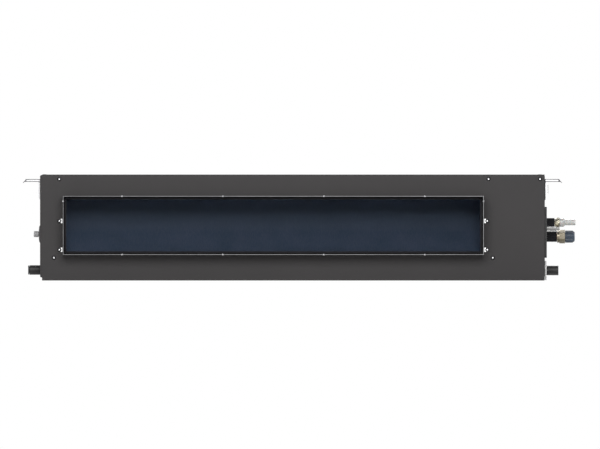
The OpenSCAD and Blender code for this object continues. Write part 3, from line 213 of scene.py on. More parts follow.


# Zinc plate with fine drawn lines: shaft, rivets and hangers, whose edges get painted shade
platedSteel = {
    "colour": (0.68, 0.68, 0.69),
    "clouds": (40.0, 3.0),
    "shades": (0.94, 1.0),
    "lines": (900.0, 2.0),
    "stretch": (1, 1, 1),
    "roughness": (0.12, 0.20),
    "relief": (0.01*mm, 0.4),
    "edgeRange": (0.25, 0.55),    # of the painted shade mark, from plate to edge
}
drawnPlate = dict(platedSteel, stretch=(0.08, 1, 1))
# hanger plates with painted shade along their edges, darker on the right than on the left
rightHangerPlate = dict(drawnPlate, colour=(0.86, 0.86, 0.87), edgeShade=(0.05, 0.05, 0.053))
leftHangerPlate = dict(rightHangerPlate, edgeShade=(0.16, 0.16, 0.165))
rivetPlate = dict(platedSteel, colour=(0.50, 0.50, 0.51))


def platedFinish(name, spec):
    material, tree, shader = newMaterial(name)
    lines = noise(tree, objectPoint(tree, spec["stretch"]), *spec["lines"])
    clouds = noise(tree, objectPoint(tree), *spec["clouds"])
    colour = mottled(tree, clouds, spec["colour"], *spec["shades"])
    if "edgeShade" in spec:
        # painted shade along the hangers' edges
        edge = remap(tree, attribute(tree, "edgeShade"), 0, 1, *spec["edgeRange"])
        colour = blendColours(tree, edge, colour, spec["edgeShade"])
    fillSockets(tree, shader, Base_Color=colour, Roughness=remap(tree, lines, *spec["roughness"]),
                Normal=bump(tree, lines, *spec["relief"]), Metallic=1.0)
    return material


# Screw heads: a painted highlight on the crown, and painted shade in the cross and round the rim
screwPlate = {
    # the crown's colour is a painted highlight, the rim's is painted shade
    "crown": (0.92, 0.92, 0.93),
    "rim": (0.022, 0.022, 0.024),
    "grain": (1400.0, 3.0),
    "uneven": 0.12,    # how far the grain moves the limit between crown and rim
    "roughness": (0.12, 0.20),
    "relief": (0.01*mm, 0.4),
}


def screwFinish(name, spec):
    material, tree, shader = newMaterial(name)
    grain = noise(tree, objectPoint(tree), *spec["grain"])
    limit = remap(tree, grain, -spec["uneven"], spec["uneven"])
    paintedShade = remap(tree, combine(tree, "ADD", attribute(tree, "rimPaintedShade"), limit), 0, 1)
    fillSockets(tree, shader, Base_Color=blendColours(tree, paintedShade, spec["crown"], spec["rim"]),
                Roughness=remap(tree, grain, *spec["roughness"]), Normal=bump(tree, grain, *spec["relief"]),
                Metallic=1.0)
    return material


# Closed-cell foam: small shut cells and a dull skin
blackFoam = {
    "colour": (0.009, 0.009, 0.011),
    "clouds": (35.0, 3.0),
    "shades": (0.7, 1.5),
    "cellScale": 620.0,
    "relief": (0.25*mm, 0.8),
    "roughness": 0.9,
    "specular": 0.25,
}


def foamFinish(name, spec):
    material, tree, shader = newMaterial(name)
    point = objectPoint(tree)
    cells = addNode(tree, "ShaderNodeTexVoronoi", Vector=point, Scale=spec["cellScale"])
    clouds = noise(tree, point, *spec["clouds"])
    fillSockets(tree, shader,
                Base_Color=mottled(tree, clouds, spec["colour"], *spec["shades"]),
                Normal=bump(tree, cells.outputs["Distance"], *spec["relief"]),
                Roughness=spec["roughness"], Specular_IOR_Level=spec["specular"])
    return material


# Moulded plastic and rubber: fine spark texture and slow changes of shade and sheen
moulding = {
    "clouds": (30.0, 3.0),
    "shades": (0.92, 1.08),
    "sparks": (1800.0, 2.0),
    "relief": (0.02*mm, 0.5),
    "roughness": (0.34, 0.46),
    "specular": 0.5,
    "clear": 0.0,
    "soft": 0.0,
    "softDepth": 4*mm,
}


def plasticFinish(name, colour, **changes):
    spec = dict(moulding, **changes)
    material, tree, shader = newMaterial(name)
    point = objectPoint(tree)
    clouds = noise(tree, point, *spec["clouds"])
    fillSockets(tree, shader,
                Base_Color=mottled(tree, clouds, colour, *spec["shades"]),
                Roughness=remap(tree, clouds, *spec["roughness"]),
                Normal=bump(tree, noise(tree, point, *spec["sparks"]), *spec["relief"]),
                Specular_IOR_Level=spec["specular"], Transmission_Weight=spec["clear"],
                Subsurface_Weight=spec["soft"], Subsurface_Scale=spec["softDepth"])
    return material


# Coated aluminium fins, with painted light higher up
coatedFin = {
    "colour": (0.090, 0.132, 0.205),
    "edge": (0.122, 0.160, 0.245),
    "clouds": (22.0, 4.0),
    "clean": (0.380, 0.475, 0.630),    # painted light high up on the coil
    "paintedTopLightRange": (95*mm, 175*mm),     # heights above the object's underside
    "lines": (700.0, 2.0),
    "stretch": (1, 0.2, 0.2),
    "roughness": (0.40, 0.55),
    "specular": 0.4,
}


def finFinish(name, spec):
    material, tree, shader = newMaterial(name)
    point = objectPoint(tree)
    clouds = remap(tree, noise(tree, point, *spec["clouds"]), 0, 1)
    # painted light, stronger higher up the coil
    clean = remap(tree, heightOf(tree, point), 0, 1, *spec["paintedTopLightRange"])
    colour = blendColours(tree, clouds, spec["colour"], spec["edge"])
    lines = noise(tree, objectPoint(tree, spec["stretch"]), *spec["lines"])
    fillSockets(tree, shader, Base_Color=blendColours(tree, clean, colour, spec["clean"]),
                Roughness=remap(tree, lines, *spec["roughness"]), Specular_IOR_Level=spec["specular"])
    return material


# Drawn copper with brown patches
drawnCopper = {
    "bright": (0.70, 0.34, 0.19),
    "brown": (0.36, 0.15, 0.08),
    "patches": (55.0, 5.0, 0.6),    # scale, detail and roughness of the noise
    "patchRange": (0.45, 0.75),
    "relief": (0.03*mm, 0.4),
    "roughness": (0.22, 0.42),
}

# Turned brass with faint tool marks, with painted shade below a height
turnedBrass = dict(drawnCopper, bright=(0.200, 0.182, 0.146), brown=(0.138, 0.118, 0.083),
                   roughness=(0.22, 0.36), relief=(0.03*mm, 0.5), ringScale=900.0, ringDistortion=0.4,
                   under=(0.105, 0.092, 0.062), underRange=(83.5*mm, 81.5*mm))
# A darker copy of the same brass for the liquid nut, also with painted shade below a height
darkerBrass = dict(turnedBrass, bright=(0.190, 0.178, 0.140), brown=(0.10, 0.088, 0.062),
                 underRange=(112.5*mm, 110.5*mm))


def tarnishedFinish(name, spec):
    material, tree, shader = newMaterial(name)
    point = objectPoint(tree)
    patches = noise(tree, point, *spec["patches"])
    patchy = remap(tree, patches, 0, 1, *spec["patchRange"])
    colour = blendColours(tree, patchy, spec["bright"], spec["brown"])
    if "under" in spec:
        # painted shade below a height
        low = remap(tree, heightOf(tree, point), 0, 1, *spec["underRange"])
        colour = blendColours(tree, low, colour, spec["under"])
    height = patches
    if "ringScale" in spec:
        height = addNode(tree, "ShaderNodeTexWave", {"bands_direction": "X"}, Vector=point,
                         Scale=spec["ringScale"], Distortion=spec["ringDistortion"]).outputs["Fac"]
    fillSockets(tree, shader, Base_Color=colour, Roughness=remap(tree, patches, *spec["roughness"]),
                Normal=bump(tree, height, *spec["relief"]), Metallic=1.0)
    return material


finishes = {
    "paint": paintFinish("darkPowderPaint", powderPaint),
    "zinc": zincFinish("galvanisedSheet", galvanisedSheet),
    "collar": zincFinish("collarSheet", collarSheet),
    "shell": zincFinish("motorShell", motorSheet),
    "plate": platedFinish("brightZincPlate", drawnPlate),
    "rightHanger": platedFinish("rightHangerPlate", rightHangerPlate),
    "leftHanger": platedFinish("leftHangerPlate", leftHangerPlate),
    "rivet": platedFinish("rivetPlate", rivetPlate),
    "screw": screwFinish("screwPlate", screwPlate),
    "foam": foamFinish("blackFoam", blackFoam),
    "black": plasticFinish("blackMoulding", (0.020, 0.020, 0.021)),
    "drain": plasticFinish("drainMoulding", (0.011, 0.011, 0.011), roughness=(0.42, 0.52), specular=0.3),
    "rubber": plasticFinish("rubber", (0.020, 0.020, 0.020), roughness=(0.60, 0.75), relief=(0.05*mm, 0.5)),
    "blueCap": plasticFinish("blueCap", (0.035, 0.050, 0.073), roughness=(0.32, 0.44), soft=0.05,
                             specular=0.35),
    "paleCap": plasticFinish("paleCap", (0.43, 0.43, 0.415), roughness=(0.24, 0.34), soft=0.10),
    "pale": plasticFinish("palePlastic", (0.94, 0.94, 0.93), roughness=(0.35, 0.5)),
    "grey": plasticFinish("greyPlastic", (0.44, 0.44, 0.445)),
    "tube": plasticFinish("tubePlastic", (0.80, 0.80, 0.79), clear=0.35),
    "net": plasticFinish("filterNet", (0.045, 0.045, 0.048), roughness=(0.5, 0.6)),
    "board": plasticFinish("circuitBoard", (0.020, 0.095, 0.045), roughness=(0.25, 0.4)),
    "fin": finFinish("blueFin", coatedFin),
    "copper": tarnishedFinish("copperTube", drawnCopper),
    "brass": tarnishedFinish("turnedBrass", turnedBrass),
    "darkerBrass": tarnishedFinish("darkerBrass", darkerBrass),
}
print("materials made:", len(finishes))

nodeFinish = {
    "paint": ["top_panel", "bottom_panel", "service_panel", "left_side_panel", "right_side_panel",
              "front_panel", "return_frame", "inspection_disc"],
    "collar": ["outlet_collar"],
    "zinc": ["filter_rails", "fan_deck", "motor_bracket", "coil_plate_left",
             "coil_plate_right", "electrical_box", "electrical_cover"],
    "plate": ["motor_shaft"],
    "rightHanger": ["hanger_front_right", "hanger_rear_right"],
    "leftHanger": ["hanger_front_left", "hanger_rear_left"],
    "screw": ["casing_screws", "bracket_screws"],
    "rivet": ["collar_rivets"],
    "foam": ["top_insulation", "outlet_liner", "gas_sleeve", "liquid_sleeve"],
    "black": ["filter_frame", "filter_tab", "left_scroll_upper", "left_scroll_lower", "right_scroll_upper",
              "right_scroll_lower", "left_wheel", "right_wheel", "piping_plate", "drain_pan",
              "terminal_block"],
    "drain": ["left_drain_spout", "right_drain_spout"],
    "rubber": ["motor_rings", "drain_plug", "cable_grommets"],
    "fin": ["coil_fins"],
    "copper": ["coil_tubes", "return_bends", "gas_header", "liquid_line", "capillaries"],
    "brass": ["gas_nut"],
    "darkerBrass": ["liquid_nut"],
    "shell": ["motor_body"],
    "blueCap": ["gas_cap"],
    "paleCap": ["liquid_cap"],
    "pale": ["drain_ring"],
    "grey": ["inspection_plug"],
    "tube": ["grey_tube"],
    "net": ["filter_mesh"],
    "board": ["control_board"],
}
finishOf = {name: finishes[key] for key, names in nodeFinish.items() for name in names}
bodyOf = {name: body for body, names in frame["record"]["behaviour"]["bodies"].items() for name in names}

for name, node in nodes.items():
    node.data.materials.clear()
    node.data.materials.append(finishOf[name])
print("CAD nodes painted")

# Mesh helpers. Corners closer than these gaps are one, in a copied node and in a turned or cut shape
cadGap = 0.005*mm
turnedGap = 0.001*mm


def finishPiece(name, bm, node, smoothAngle, weighted=False):
    mesh = bpy.data.meshes.new(name)
    bm.to_mesh(mesh)
    bm.free()
    piece = bpy.data.objects.new(name, mesh)
    bpy.context.scene.collection.objects.link(piece)
    mesh.materials.append(finishOf[node])
    mesh.shade_smooth()
    mesh.set_sharp_from_angle(angle=math.radians(smoothAngle))
    if weighted:
        modifier = piece.modifiers.new("evenShading", "WEIGHTED_NORMAL")
        modifier.keep_sharp = True
    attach(piece, bodyOf[node])
    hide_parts(node)


def mergedCopy(node):
    bm = bmesh.new()
    bm.from_mesh(nodes[node].data)
    bmesh.ops.remove_doubles(bm, verts=bm.verts, dist=cadGap)
    return bm


def geometryOf(bm):
    return bm.verts[:] + bm.edges[:] + bm.faces[:]


def vertsIn(geometry):
    return [item for item in geometry if isinstance(item, bmesh.types.BMVert)]


def cutAcross(bm, place, normal):
    bmesh.ops.bisect_plane(bm, geom=geometryOf(bm), dist=turnedGap, plane_co=place, plane_no=normal)


# Turns a profile of (radius, height) points about Z
def turnedPart(profile, steps):
    part = bmesh.new()
    line = [part.verts.new((radius, 0, height)) for radius, height in profile]
    edges = [part.edges.new(pair) for pair in zip(line, line[1:])]
    bmesh.ops.spin(part, geom=line + edges, cent=(0, 0, 0), axis=(0, 0, 1), angle=math.tau, steps=steps,
                   use_merge=True)
    bmesh.ops.remove_doubles(part, verts=part.verts, dist=turnedGap)
    return part


# Turns a part's Z to the direction, moves it to its place and adds it to a mesh
def addPart(bm, part, place, direction):
    turn = Vector((0, 0, 1)).rotation_difference(direction).to_matrix().to_4x4()
    bmesh.ops.transform(part, matrix=Matrix.Translation(place) @ turn, verts=part.verts)
    carrier = bpy.data.meshes.new("carrier")
    part.to_mesh(carrier)
    part.free()
    bm.from_mesh(carrier)
    bpy.data.meshes.remove(carrier)


# The hangers' long edges get painted shade: strips are cut beside the long edges, and a mark fades out
# across them. On the left side only the plate's edges are shaded
edgeShade = {
    "width": 2.0*mm,     # of the strip
    "full": 1.0*mm,      # the mark is whole up to here
    "shortest": 3*mm,    # shorter edges get no strip
    "plate": 8*mm,       # the plate's edges lie within this of the top
    "end": 20*mm,        # farther than this from the wall, slanted edges count too
    "slack": 0.01*mm,
}


def longEdges(bm, sharp):
    plateLow = max(v.co.z for v in bm.verts) - edgeShade["plate"]
    endStart = min(abs(v.co.x) for v in bm.verts) + edgeShade["end"]
    found = []
    for edge in bm.edges:
        long = edge.calc_length() >= edgeShade["shortest"]
        if not (long and edge.is_manifold and edge.calc_face_angle(0) >= sharp):
            continue
        first, second = edge.verts[0].co.copy(), edge.verts[1].co.copy()
        straight = sum(abs(step) > edgeShade["slack"] for step in second - first) == 1
        atEnd = min(abs(first.x), abs(second.x)) > endStart
        if (straight or atEnd) and (first.x > 0 or min(first.z, second.z) > plateLow):
            found.append((first, second))
    return found


def markEdgeShade(bm, edges):
    bmesh.ops.triangulate(bm, faces=bm.faces)
    for axis in range(3):
        normal = Vector([float(k == axis) for k in range(3)])
        level = [pair for pair in edges if abs(pair[0][axis] - pair[1][axis]) < edgeShade["slack"]]
        places = {round(end[axis]/mm, 2) for pair in level for end in pair}    # equal ones are cut once
        for place in sorted(places):
            for side in (-1, 1):
                cutAcross(bm, normal*(place*mm + side*edgeShade["width"]), normal)
    # the painted shade mark, full at the edge and fading across the strip
    mark = bm.verts.layers.float.new("edgeShade")
    for vert in bm.verts:
        near = edgeShade["width"]
        for first, second in edges:
            along = second - first
            share = min(1.0, max(0.0, (vert.co - first).dot(along)/along.length_squared))
            near = min(near, (vert.co - first - along*share).length)
        vert[mark] = min(1.0, (edgeShade["width"] - near)/(edgeShade["width"] - edgeShade["full"]))


# The ears are drawn near-white between the collar's wall and the screw, and get painted shade beyond the
# screw
earShape = {"wall": 4*mm, "bright": 7.0*mm, "fade": 0.6*mm}    # measured outward from the liner


def markEars(bm):
    low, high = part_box("outlet_liner")
    brightEnd = earShape["bright"] + earShape["fade"]/2
    for side, wall in ((-1, low.x), (1, high.x)):
        for out in (earShape["bright"], earShape["bright"] + earShape["fade"]):
            cutAcross(bm, (wall + side*out, 0, 0), (1, 0, 0))
    earBright = bm.verts.layers.float.new("earBright")
    dull = bm.verts.layers.float.new("dull")
    for vert in bm.verts:
        out = max(low.x - vert.co.x, vert.co.x - high.x)
        vert[earBright] = float(earShape["wall"] < out < brightEnd)
        vert[dull] = float(out > brightEnd)


# The leg's rib ends under the plate's rim, with a notch between them, and the plate's end is bent down
# at a slant
hangerCorner = {
    "out": 13*mm,       # from the wall to the rib's corner in the CAD
    "leg": 2.8*mm,      # from the wall to that corner here
    "rim": 5.5*mm,      # from the plate's top down to that corner
    "sheet": 1.8*mm,    # thickness of the bent end
    "slant": 7*mm,      # how far the bent end's top moves in
    "slack": 0.05*mm,
}


def openCorner(bm):
    high = max(v.co.z for v in bm.verts)
    wall = min(abs(v.co.x) for v in bm.verts)
    end = max(abs(v.co.x) for v in bm.verts)
    slack = hangerCorner["slack"]
    bent = [v for v in bm.verts if abs(v.co.x) > end - hangerCorner["sheet"] - slack]
    drop = high - min(v.co.z for v in bent)
    for vert in bent:
        vert.co.x -= math.copysign(hangerCorner["slant"]*(1 - (high - vert.co.z)/drop), vert.co.x)
    for vert in bm.verts:
        atRim = abs(vert.co.z - (high - hangerCorner["rim"])) < slack
        if atRim and abs(abs(vert.co.x) - wall - hangerCorner["out"]) < slack:
            vert.co.x = math.copysign(wall + hangerCorner["leg"], vert.co.x)


# Sheet and moulded nodes get the small edge radius that the real ones have. Angles are in degrees
softening = {
    "flat": 0.5,    # faces that meet at less are made one
    "sharp": 30,    # edges past this get the radius
    "segments": 2,
    "smooth": 50,
}


def softenNode(node, name, width):
    isHanger = node.startswith("hanger")
    sharp = math.radians(softening["sharp"])
    bm = mergedCopy(node)
    bmesh.ops.dissolve_limit(bm, angle_limit=math.radians(softening["flat"]), verts=bm.verts, edges=bm.edges)
    if isHanger:
        openCorner(bm)
        shadedEdges = longEdges(bm, sharp)
    if width > 0:
        bmesh.ops.bevel(bm, geom=[e for e in bm.edges if e.is_manifold and e.calc_face_angle(0) > sharp],
                        offset=width, offset_type="OFFSET", segments=softening["segments"], profile=0.5,
                        affect="EDGES", clamp_overlap=True, material=-1)
    bmesh.ops.triangulate(bm, faces=[f for f in bm.faces if len(f.verts) > 4])
    if isHanger:
        markEdgeShade(bm, shadedEdges)
    if node == "outlet_collar":
        markEars(bm)
    finishPiece(name, bm, node, softening["smooth"], weighted=True)


def pieceName(node):
    words = node.split("_")
    return words[0] + "".join(word.capitalize() for word in words[1:])


# Edge radius in millimetres, and the nodes that get it. With 0 the edges stay as they are
softEdges = {
    0.15: ["fan_deck", "coil_plate_left", "coil_plate_right", "electrical_box", "electrical_cover",
           "motor_bracket"],
    0.25: ["bottom_panel", "service_panel", "left_side_panel", "right_side_panel", "return_frame",
           "outlet_collar", "filter_rails", "gas_nut", "liquid_nut", "inspection_disc", "capillaries"],
    0.35: ["front_panel", "top_panel", "hanger_front_left", "hanger_front_right", "hanger_rear_left",
           "hanger_rear_right", "grey_tube", "inspection_plug", "drain_plug", "gas_cap", "liquid_cap",
           "cable_grommets", "motor_rings", "motor_body", "motor_shaft"],
    0.50: ["right_drain_spout", "left_drain_spout", "drain_ring", "filter_frame", "filter_tab", "drain_pan",
           "left_scroll_upper", "left_scroll_lower", "right_scroll_upper", "right_scroll_lower",
           "terminal_block", "control_board"],
    0.80: ["outlet_liner", "piping_plate", "gas_sleeve", "liquid_sleeve", "top_insulation"],
    0: ["left_wheel", "right_wheel", "coil_tubes", "return_bends", "gas_header", "liquid_line"],
}
for width, group in softEdges.items():
    for node in group:
        softenNode(node, pieceName(node), width*mm)
print("soft-edged pieces:", sum(len(group) for group in softEdges.values()))


# The loose solids of a node, each with its lowest and highest corner and the mean point of its corners
def solidsOf(node):
    bm = mergedCopy(node)
    seen, found = set(), []
    for start in bm.verts:
        if start in seen:
            continue
        group, queue = [], [start]
        seen.add(start)
        while queue:
            vert = queue.pop()
            group.append(vert.co.copy())
            for edge in vert.link_edges:
                other = edge.other_vert(vert)
                if other not in seen:
                    seen.add(other)
                    queue.append(other)
        found.append({"low": Vector(map(min, zip(*group))), "high": Vector(map(max, zip(*group))),
                      "mean": sum(group, Vector())/len(group)})
    bm.free()
    return found


# Screws
screwShape = {
    "headRadius": 4.0*mm,
    "shankRadius": 1.9*mm,
    "shankLength": 6.0*mm,
    "rimShare": 0.18,      # of the head's height that is its straight rim
    "domeSteps": 4,
    "flatShare": 1.12,     # radius of the flat top, of the cross's span
    "crossSpan": 1.7*mm,      # from the middle to an arm's end
    "crossWidth": 0.35*mm,    # half of an arm's width
    "crossDepth": 0.7*mm,
    "depthShare": 0.6,     # of the head's height that the cross may take
    "floorShare": 0.55,    # of the cross's mouth that its floor takes
    # painted shade on the floor of the cross
    "floorPaintedShade": 0.4,
    "paintedShadeFrom": 0.38,      # of the head's radius, where the rim's painted shade starts
    "paintedShadeWidth": 0.10,     # of it, over which the painted shade grows to the full
    "steps": 32,
    "smooth": 35,
}


# Closes the head's open top with a cross-shaped recess and marks its floor and the rim for painted shade
def cutCross(part, top, spec):
    rim = [edge for edge in part.edges if edge.is_boundary]
    depth = min(spec["crossDepth"], spec["depthShare"]*top)
    span, half = spec["crossSpan"], spec["crossWidth"]
    arm = [(span, -half), (span, half), (half, half)]
    corners = [Matrix.Rotation(turn*math.pi/2, 2) @ Vector(corner) for turn in range(4) for corner in arm]
    cross = [part.verts.new((corner.x, corner.y, top)) for corner in corners]
    loop = [part.edges.new(pair) for pair in zip(cross, cross[1:] + cross[:1])]
    bmesh.ops.bridge_loops(part, edges=rim + loop)
    wall = bmesh.ops.extrude_edge_only(part, edges=loop)["geom"]
    floor = vertsIn(wall)
    bmesh.ops.scale(part, vec=(spec["floorShare"], spec["floorShare"], 1), verts=floor)
    bmesh.ops.translate(part, vec=(0, 0, -depth), verts=floor)
    bmesh.ops.contextual_create(part, geom=[item for item in wall if isinstance(item, bmesh.types.BMEdge)])
    paintedShade = part.verts.layers.float.new("rimPaintedShade")
    for vert in part.verts:
        radius = math.hypot(vert.co.x, vert.co.y)
        atFloor = abs(vert.co.z - (top - depth)) < depth/2 and radius < span
        outward = (radius/spec["headRadius"] - spec["paintedShadeFrom"])/spec["paintedShadeWidth"]
        vert[paintedShade] = spec["floorPaintedShade"] if atFloor else min(1.0, max(0.0, outward))


def screwPart(height, spec):
    headRadius, rimTop = spec["headRadius"], height*spec["rimShare"]
    flatRadius = spec["crossSpan"]*spec["flatShare"]
    profile = [(0, -spec["shankLength"]), (spec["shankRadius"], -spec["shankLength"]),
               (spec["shankRadius"], 0), (headRadius, 0), (headRadius, rimTop)]
    for step in range(1, spec["domeSteps"] + 1):
        angle = step/spec["domeSteps"]*math.pi/2
        profile.append((flatRadius + (headRadius - flatRadius)*math.cos(angle),
                        rimTop + (height - rimTop)*math.sin(angle)))
    part = turnedPart(profile, spec["steps"])
    cutCross(part, height, spec)
    bmesh.ops.recalc_face_normals(part, faces=part.faces)
    return part


# A screw's corners crowd at its head, so their mean point shows which way it faces
def screwGroup(node, name, spec):
    bm = bmesh.new()
    for solid in solidsOf(node):
        low, high = solid["low"], solid["high"]
        middle = (low + high)/2
        offset = solid["mean"] - middle
        axis = max(range(3), key=lambda k: abs(offset[k]))
        direction = Vector((0, 0, 0))
        direction[axis] = math.copysign(1, offset[axis])
        height = high[axis] - low[axis] - spec["shankLength"]
        top = high[axis] if direction[axis] > 0 else low[axis]
        middle[axis] = top - direction[axis]*height
        addPart(bm, screwPart(height, spec), middle, direction)
    finishPiece(name, bm, node, spec["smooth"])


screwGroup("casing_screws", "casingScrews", screwShape)
screwGroup("bracket_screws", "bracketScrews", screwShape)
print("screws made")

# Rivets, with a domed head on both sides of the sheet
rivetShape = {
    "headRadius": 2.4*mm,
    "headHeight": 1.4*mm,
    "shankRadius": 1.6*mm,
    "domeSteps": 5,
    "steps": 20,
    "smooth": 45,
}


def rivetPart(length, spec):
    half = length/2 - spec["headHeight"]
    angles = [step/spec["domeSteps"]*math.pi/2 for step in range(spec["domeSteps"] + 1)]
    dome = [(spec["headRadius"]*math.sin(angle), half + spec["headHeight"]*math.cos(angle))
            for angle in angles]
    profile = dome + [(spec["shankRadius"], half), (spec["shankRadius"], -half)]
    profile += [(radius, -height) for radius, height in reversed(dome)]
    part = turnedPart(profile, spec["steps"])
    bmesh.ops.recalc_face_normals(part, faces=part.faces)
    return part


def rivetGroup(node, name, spec):
    bm = bmesh.new()
    for solid in solidsOf(node):
        size = solid["high"] - solid["low"]
        axis = min(range(3), key=lambda k: size[k])
        direction = Vector((0, 0, 0))
        direction[axis] = 1
        addPart(bm, rivetPart(size[axis], spec), (solid["low"] + solid["high"])/2, direction)
    finishPiece(name, bm, node, spec["smooth"])


rivetGroup("collar_rivets", "collarRivets", rivetShape)
print("rivets made")

# Dense fins of the coil in the leaning slab, and the collars that carry them on the tubes
finPack = {
    "length": 203.2*mm,
    "width": 44.0*mm,
    "pitch": 1.6*mm,
    "thick": 0.16*mm,
    "waves": 8,
    "waveHeight": 1.5*mm,
    "tubeRadius": 4.76*mm,
    "tubePitch": 25.4*mm,
    "rowPitch": 22.0*mm,
    "tubesInRow": 8,
    "collarWall": 0.12*mm,
    "collarSides": 16,
    "collarShort": 1*mm,    # the collars are this much shorter than the pack
    "smooth": 10,
}


def makeFins(spec):
    low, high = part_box("coil_fins")
    centre = (low + high)/2
    depth, height = high.y - low.y, high.z - low.z
    length, width = spec["length"], spec["width"]
    # The box of a slab that leans by an angle is length*sin + width*cos deep and length*cos + width*sin high
    lean = math.asin((length*depth - width*height)/(length**2 - width**2))
    bm = bmesh.new()
    bmesh.ops.create_grid(bm, x_segments=spec["waves"], y_segments=1, size=0.5)    # a square of one by one
    for vert in bm.verts:
        column = round((vert.co.x + 0.5)*spec["waves"])
        vert.co.z = spec["waveHeight"]*(0.5 if column % 2 else -0.5)/width
    bmesh.ops.scale(bm, vec=(width, length, width), verts=bm.verts)
    sheet = bmesh.ops.extrude_face_region(bm, geom=bm.faces[:])["geom"]
    bmesh.ops.translate(bm, vec=(0, 0, spec["thick"]), verts=vertsIn(sheet))
    bmesh.ops.recalc_face_normals(bm, faces=bm.faces)
    # The grid's x runs through the slab (along Y), its y up the slab (along Z) and its z along X
    stand = Matrix(((0, 0, 1, 0), (1, 0, 0, 0), (0, 1, 0, 0), (0, 0, 0, 1)))
    tilt = Matrix.Rotation(-lean, 4, "X")
    middle = Matrix.Translation((0, centre.y, centre.z))
    bmesh.ops.transform(bm, matrix=middle @ tilt @ stand, verts=bm.verts)
    count = int((high.x - low.x)/spec["pitch"])
    start = centre.x - (count - 1)*spec["pitch"]/2 - spec["thick"]/2
    first = geometryOf(bm)
    for i in range(1, count):
        copy = bmesh.ops.duplicate(bm, geom=first)["geom"]
        bmesh.ops.translate(bm, vec=(start + i*spec["pitch"], 0, 0), verts=vertsIn(copy))
    bmesh.ops.translate(bm, vec=(start, 0, 0), verts=vertsIn(first))
    radius = spec["tubeRadius"] + spec["collarWall"]
    along = Matrix.Rotation(math.radians(90), 4, "Y")
    slab = Matrix.Translation(centre) @ tilt
    for row in (-1, 1):
        for i in range(spec["tubesInRow"]):
            up = (i - (spec["tubesInRow"] - 1)/2 + row/4)*spec["tubePitch"]    # rows half a pitch apart
            place = slab @ Matrix.Translation((0, row*spec["rowPitch"]/2, up)) @ along
            bmesh.ops.create_cone(bm, cap_ends=False, segments=spec["collarSides"], radius1=radius,
                                  radius2=radius, depth=high.x - low.x - spec["collarShort"], matrix=place)
    finishPiece("coilFins", bm, "coil_fins", spec["smooth"])


makeFins(finPack)
print("fins made")

# Net of the filter: straight strands both ways
netShape = {
    "pitch": 2.4*mm,
    "strand": 0.45*mm,
    "weaveShare": 0.3,    # of a strand that each way lies off the middle
    "smooth": 30,
}


def makeNet(spec):
    low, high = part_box("filter_mesh")
    centre, size = (low + high)/2, high - low
    strand = spec["strand"]
    bm = bmesh.new()
    for axis, across, side in ((0, 2, -1), (2, 0, 1)):
        count = int(size[across]/spec["pitch"])
        for i in range(count + 1):
            length = Vector((strand, strand, strand))
            length[axis] = size[axis]
            place = centre.copy()
            place.y += side*strand*spec["weaveShare"]
            place[across] += (i - count/2)*spec["pitch"]
            place[across] = min(max(place[across], low[across] + strand), high[across] - strand)
            shape = Matrix.Translation(place) @ Matrix.Diagonal((*length, 1))
            bmesh.ops.create_cube(bm, size=1, matrix=shape)
    finishPiece("filterNet", bm, "filter_mesh", spec["smooth"])


makeNet(netShape)
print("net made")

# Camera, without convergence as in the photo, where the rear hangers hide behind the front ones
cameraSpec = {
    "width": 1188.6*mm,    # seen across the picture
    "x": 15*mm,
    "z": 111*mm,
    "distance": 4.0,
    "farthest": 100,
}
cameraData = bpy.data.cameras.new("photoCamera")
cameraData.type = "ORTHO"
cameraData.ortho_scale = cameraSpec["width"]
cameraData.clip_end = cameraSpec["farthest"]
camera = bpy.data.objects.new("photoCamera", cameraData)
camera.location = (cameraSpec["x"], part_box("front_panel")[0].y - cameraSpec["distance"], cameraSpec["z"])
camera.rotation_euler = (math.radians(90), 0, 0)
bpy.context.scene.collection.objects.link(camera)
bpy.context.scene.camera = camera
print("camera placed")


# One strength for the rays that see the white background, and another for the rest
def strengthFor(tree, white, rest):
    path = addNode(tree, "ShaderNodeLightPath")
    seen = path.outputs["Is Camera Ray"]
    for kind in ("Is Glossy Ray", "Is Transmission Ray"):
        seen = combine(tree, "MAXIMUM", seen, path.outputs[kind])
    return remap(tree, seen, rest, white, 0, 1)


# Floor: it shows white to the camera and still takes the shadow
floorSpec = {
    "reach": 30,
    "gap": 0.2*mm,    # below the object
    "colour": (0.82, 0.82, 0.82, 1),
    "glow": 0.70,
}


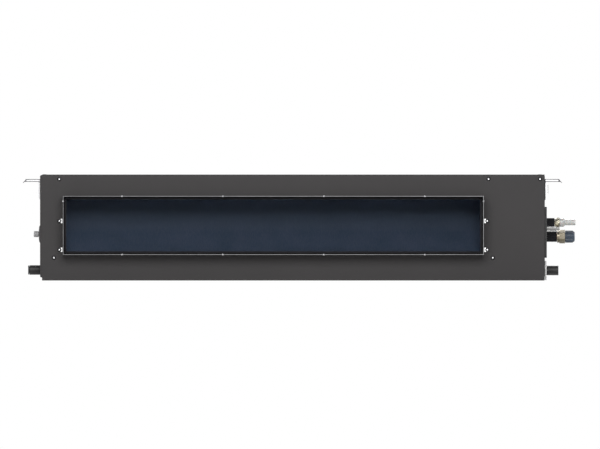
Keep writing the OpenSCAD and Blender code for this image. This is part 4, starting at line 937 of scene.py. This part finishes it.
def makeFloor(spec):
    bm = bmesh.new()
    bmesh.ops.create_grid(bm, x_segments=1, y_segments=1, size=spec["reach"])
    mesh = bpy.data.meshes.new("floor")
    bm.to_mesh(mesh)
    bm.free()
    floor = bpy.data.objects.new("floor", mesh)
    floor.location.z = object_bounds()[0].z - spec["gap"]
    bpy.context.scene.collection.objects.link(floor)
    material = bpy.data.materials.new("paleFloor")
    material.use_nodes = True
    tree = material.node_tree
    tree.nodes.clear()
    diffuse = addNode(tree, "ShaderNodeBsdfDiffuse", Color=spec["colour"])
    glow = addNode(tree, "ShaderNodeEmission", Color=(1, 1, 1, 1),
                   Strength=strengthFor(tree, spec["glow"], 0))
    both = addNode(tree, "ShaderNodeAddShader")
    tree.links.new(diffuse.outputs[0], both.inputs[0])
    tree.links.new(glow.outputs[0], both.inputs[1])
    addNode(tree, "ShaderNodeOutputMaterial", Surface=both.outputs[0])
    mesh.materials.append(material)
    floor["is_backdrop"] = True


makeFloor(floorSpec)
print("floor made")

# World: white to the camera, in reflections and through clear pieces, an even soft light for the rest
worldSpec = {"white": 1.0, "light": 0.15}


def makeWorld(spec):
    world = bpy.data.worlds.new("studio")
    bpy.context.scene.world = world
    world.use_nodes = True
    tree = world.node_tree
    tree.nodes.clear()
    background = addNode(tree, "ShaderNodeBackground", Color=(1, 1, 1, 1),
                         Strength=strengthFor(tree, spec["white"], spec["light"]))
    addNode(tree, "ShaderNodeOutputWorld", Surface=background.outputs[0])


makeWorld(worldSpec)
print("world made")

# Rectangular lamps: size is width and height, power is in watts
lamps = {
    "keyLamp": {"place": (-0.10, -3.0, 1.45), "aim": (0, -0.1, 0.1), "size": (2.6, 1.5), "power": 87},
    "fillLamp": {"place": (0.4, -3.0, 0.15), "aim": (0, -0.1, 0.1), "size": (1.6, 1.2), "power": 6},
    "backLamp": {"place": (0.2, 2.2, 2.0), "aim": (0, 0.1, 0.1), "size": (1.4, 1.4), "power": 45},
    "rightLamp": {"place": (3.0, 0.9, 0.9), "aim": (0.5, 0, 0.1), "size": (1.4, 1.4), "power": 55},
    "leftLamp": {"place": (-3.0, 0.9, 0.9), "aim": (-0.5, 0, 0.1), "size": (1.4, 1.4), "power": 55},
}
for name, spec in lamps.items():
    data = bpy.data.lights.new(name, "AREA")
    data.shape = "RECTANGLE"
    data.size, data.size_y = spec["size"]
    data.energy = spec["power"]
    lamp = bpy.data.objects.new(name, data)
    lamp.location = spec["place"]
    beam = Vector(spec["aim"]) - Vector(spec["place"])
    lamp.rotation_euler = beam.to_track_quat("-Z", "Y").to_euler()
    bpy.context.scene.collection.objects.link(lamp)
bpy.context.scene.view_settings.view_transform = "Standard"
print("stage ready")
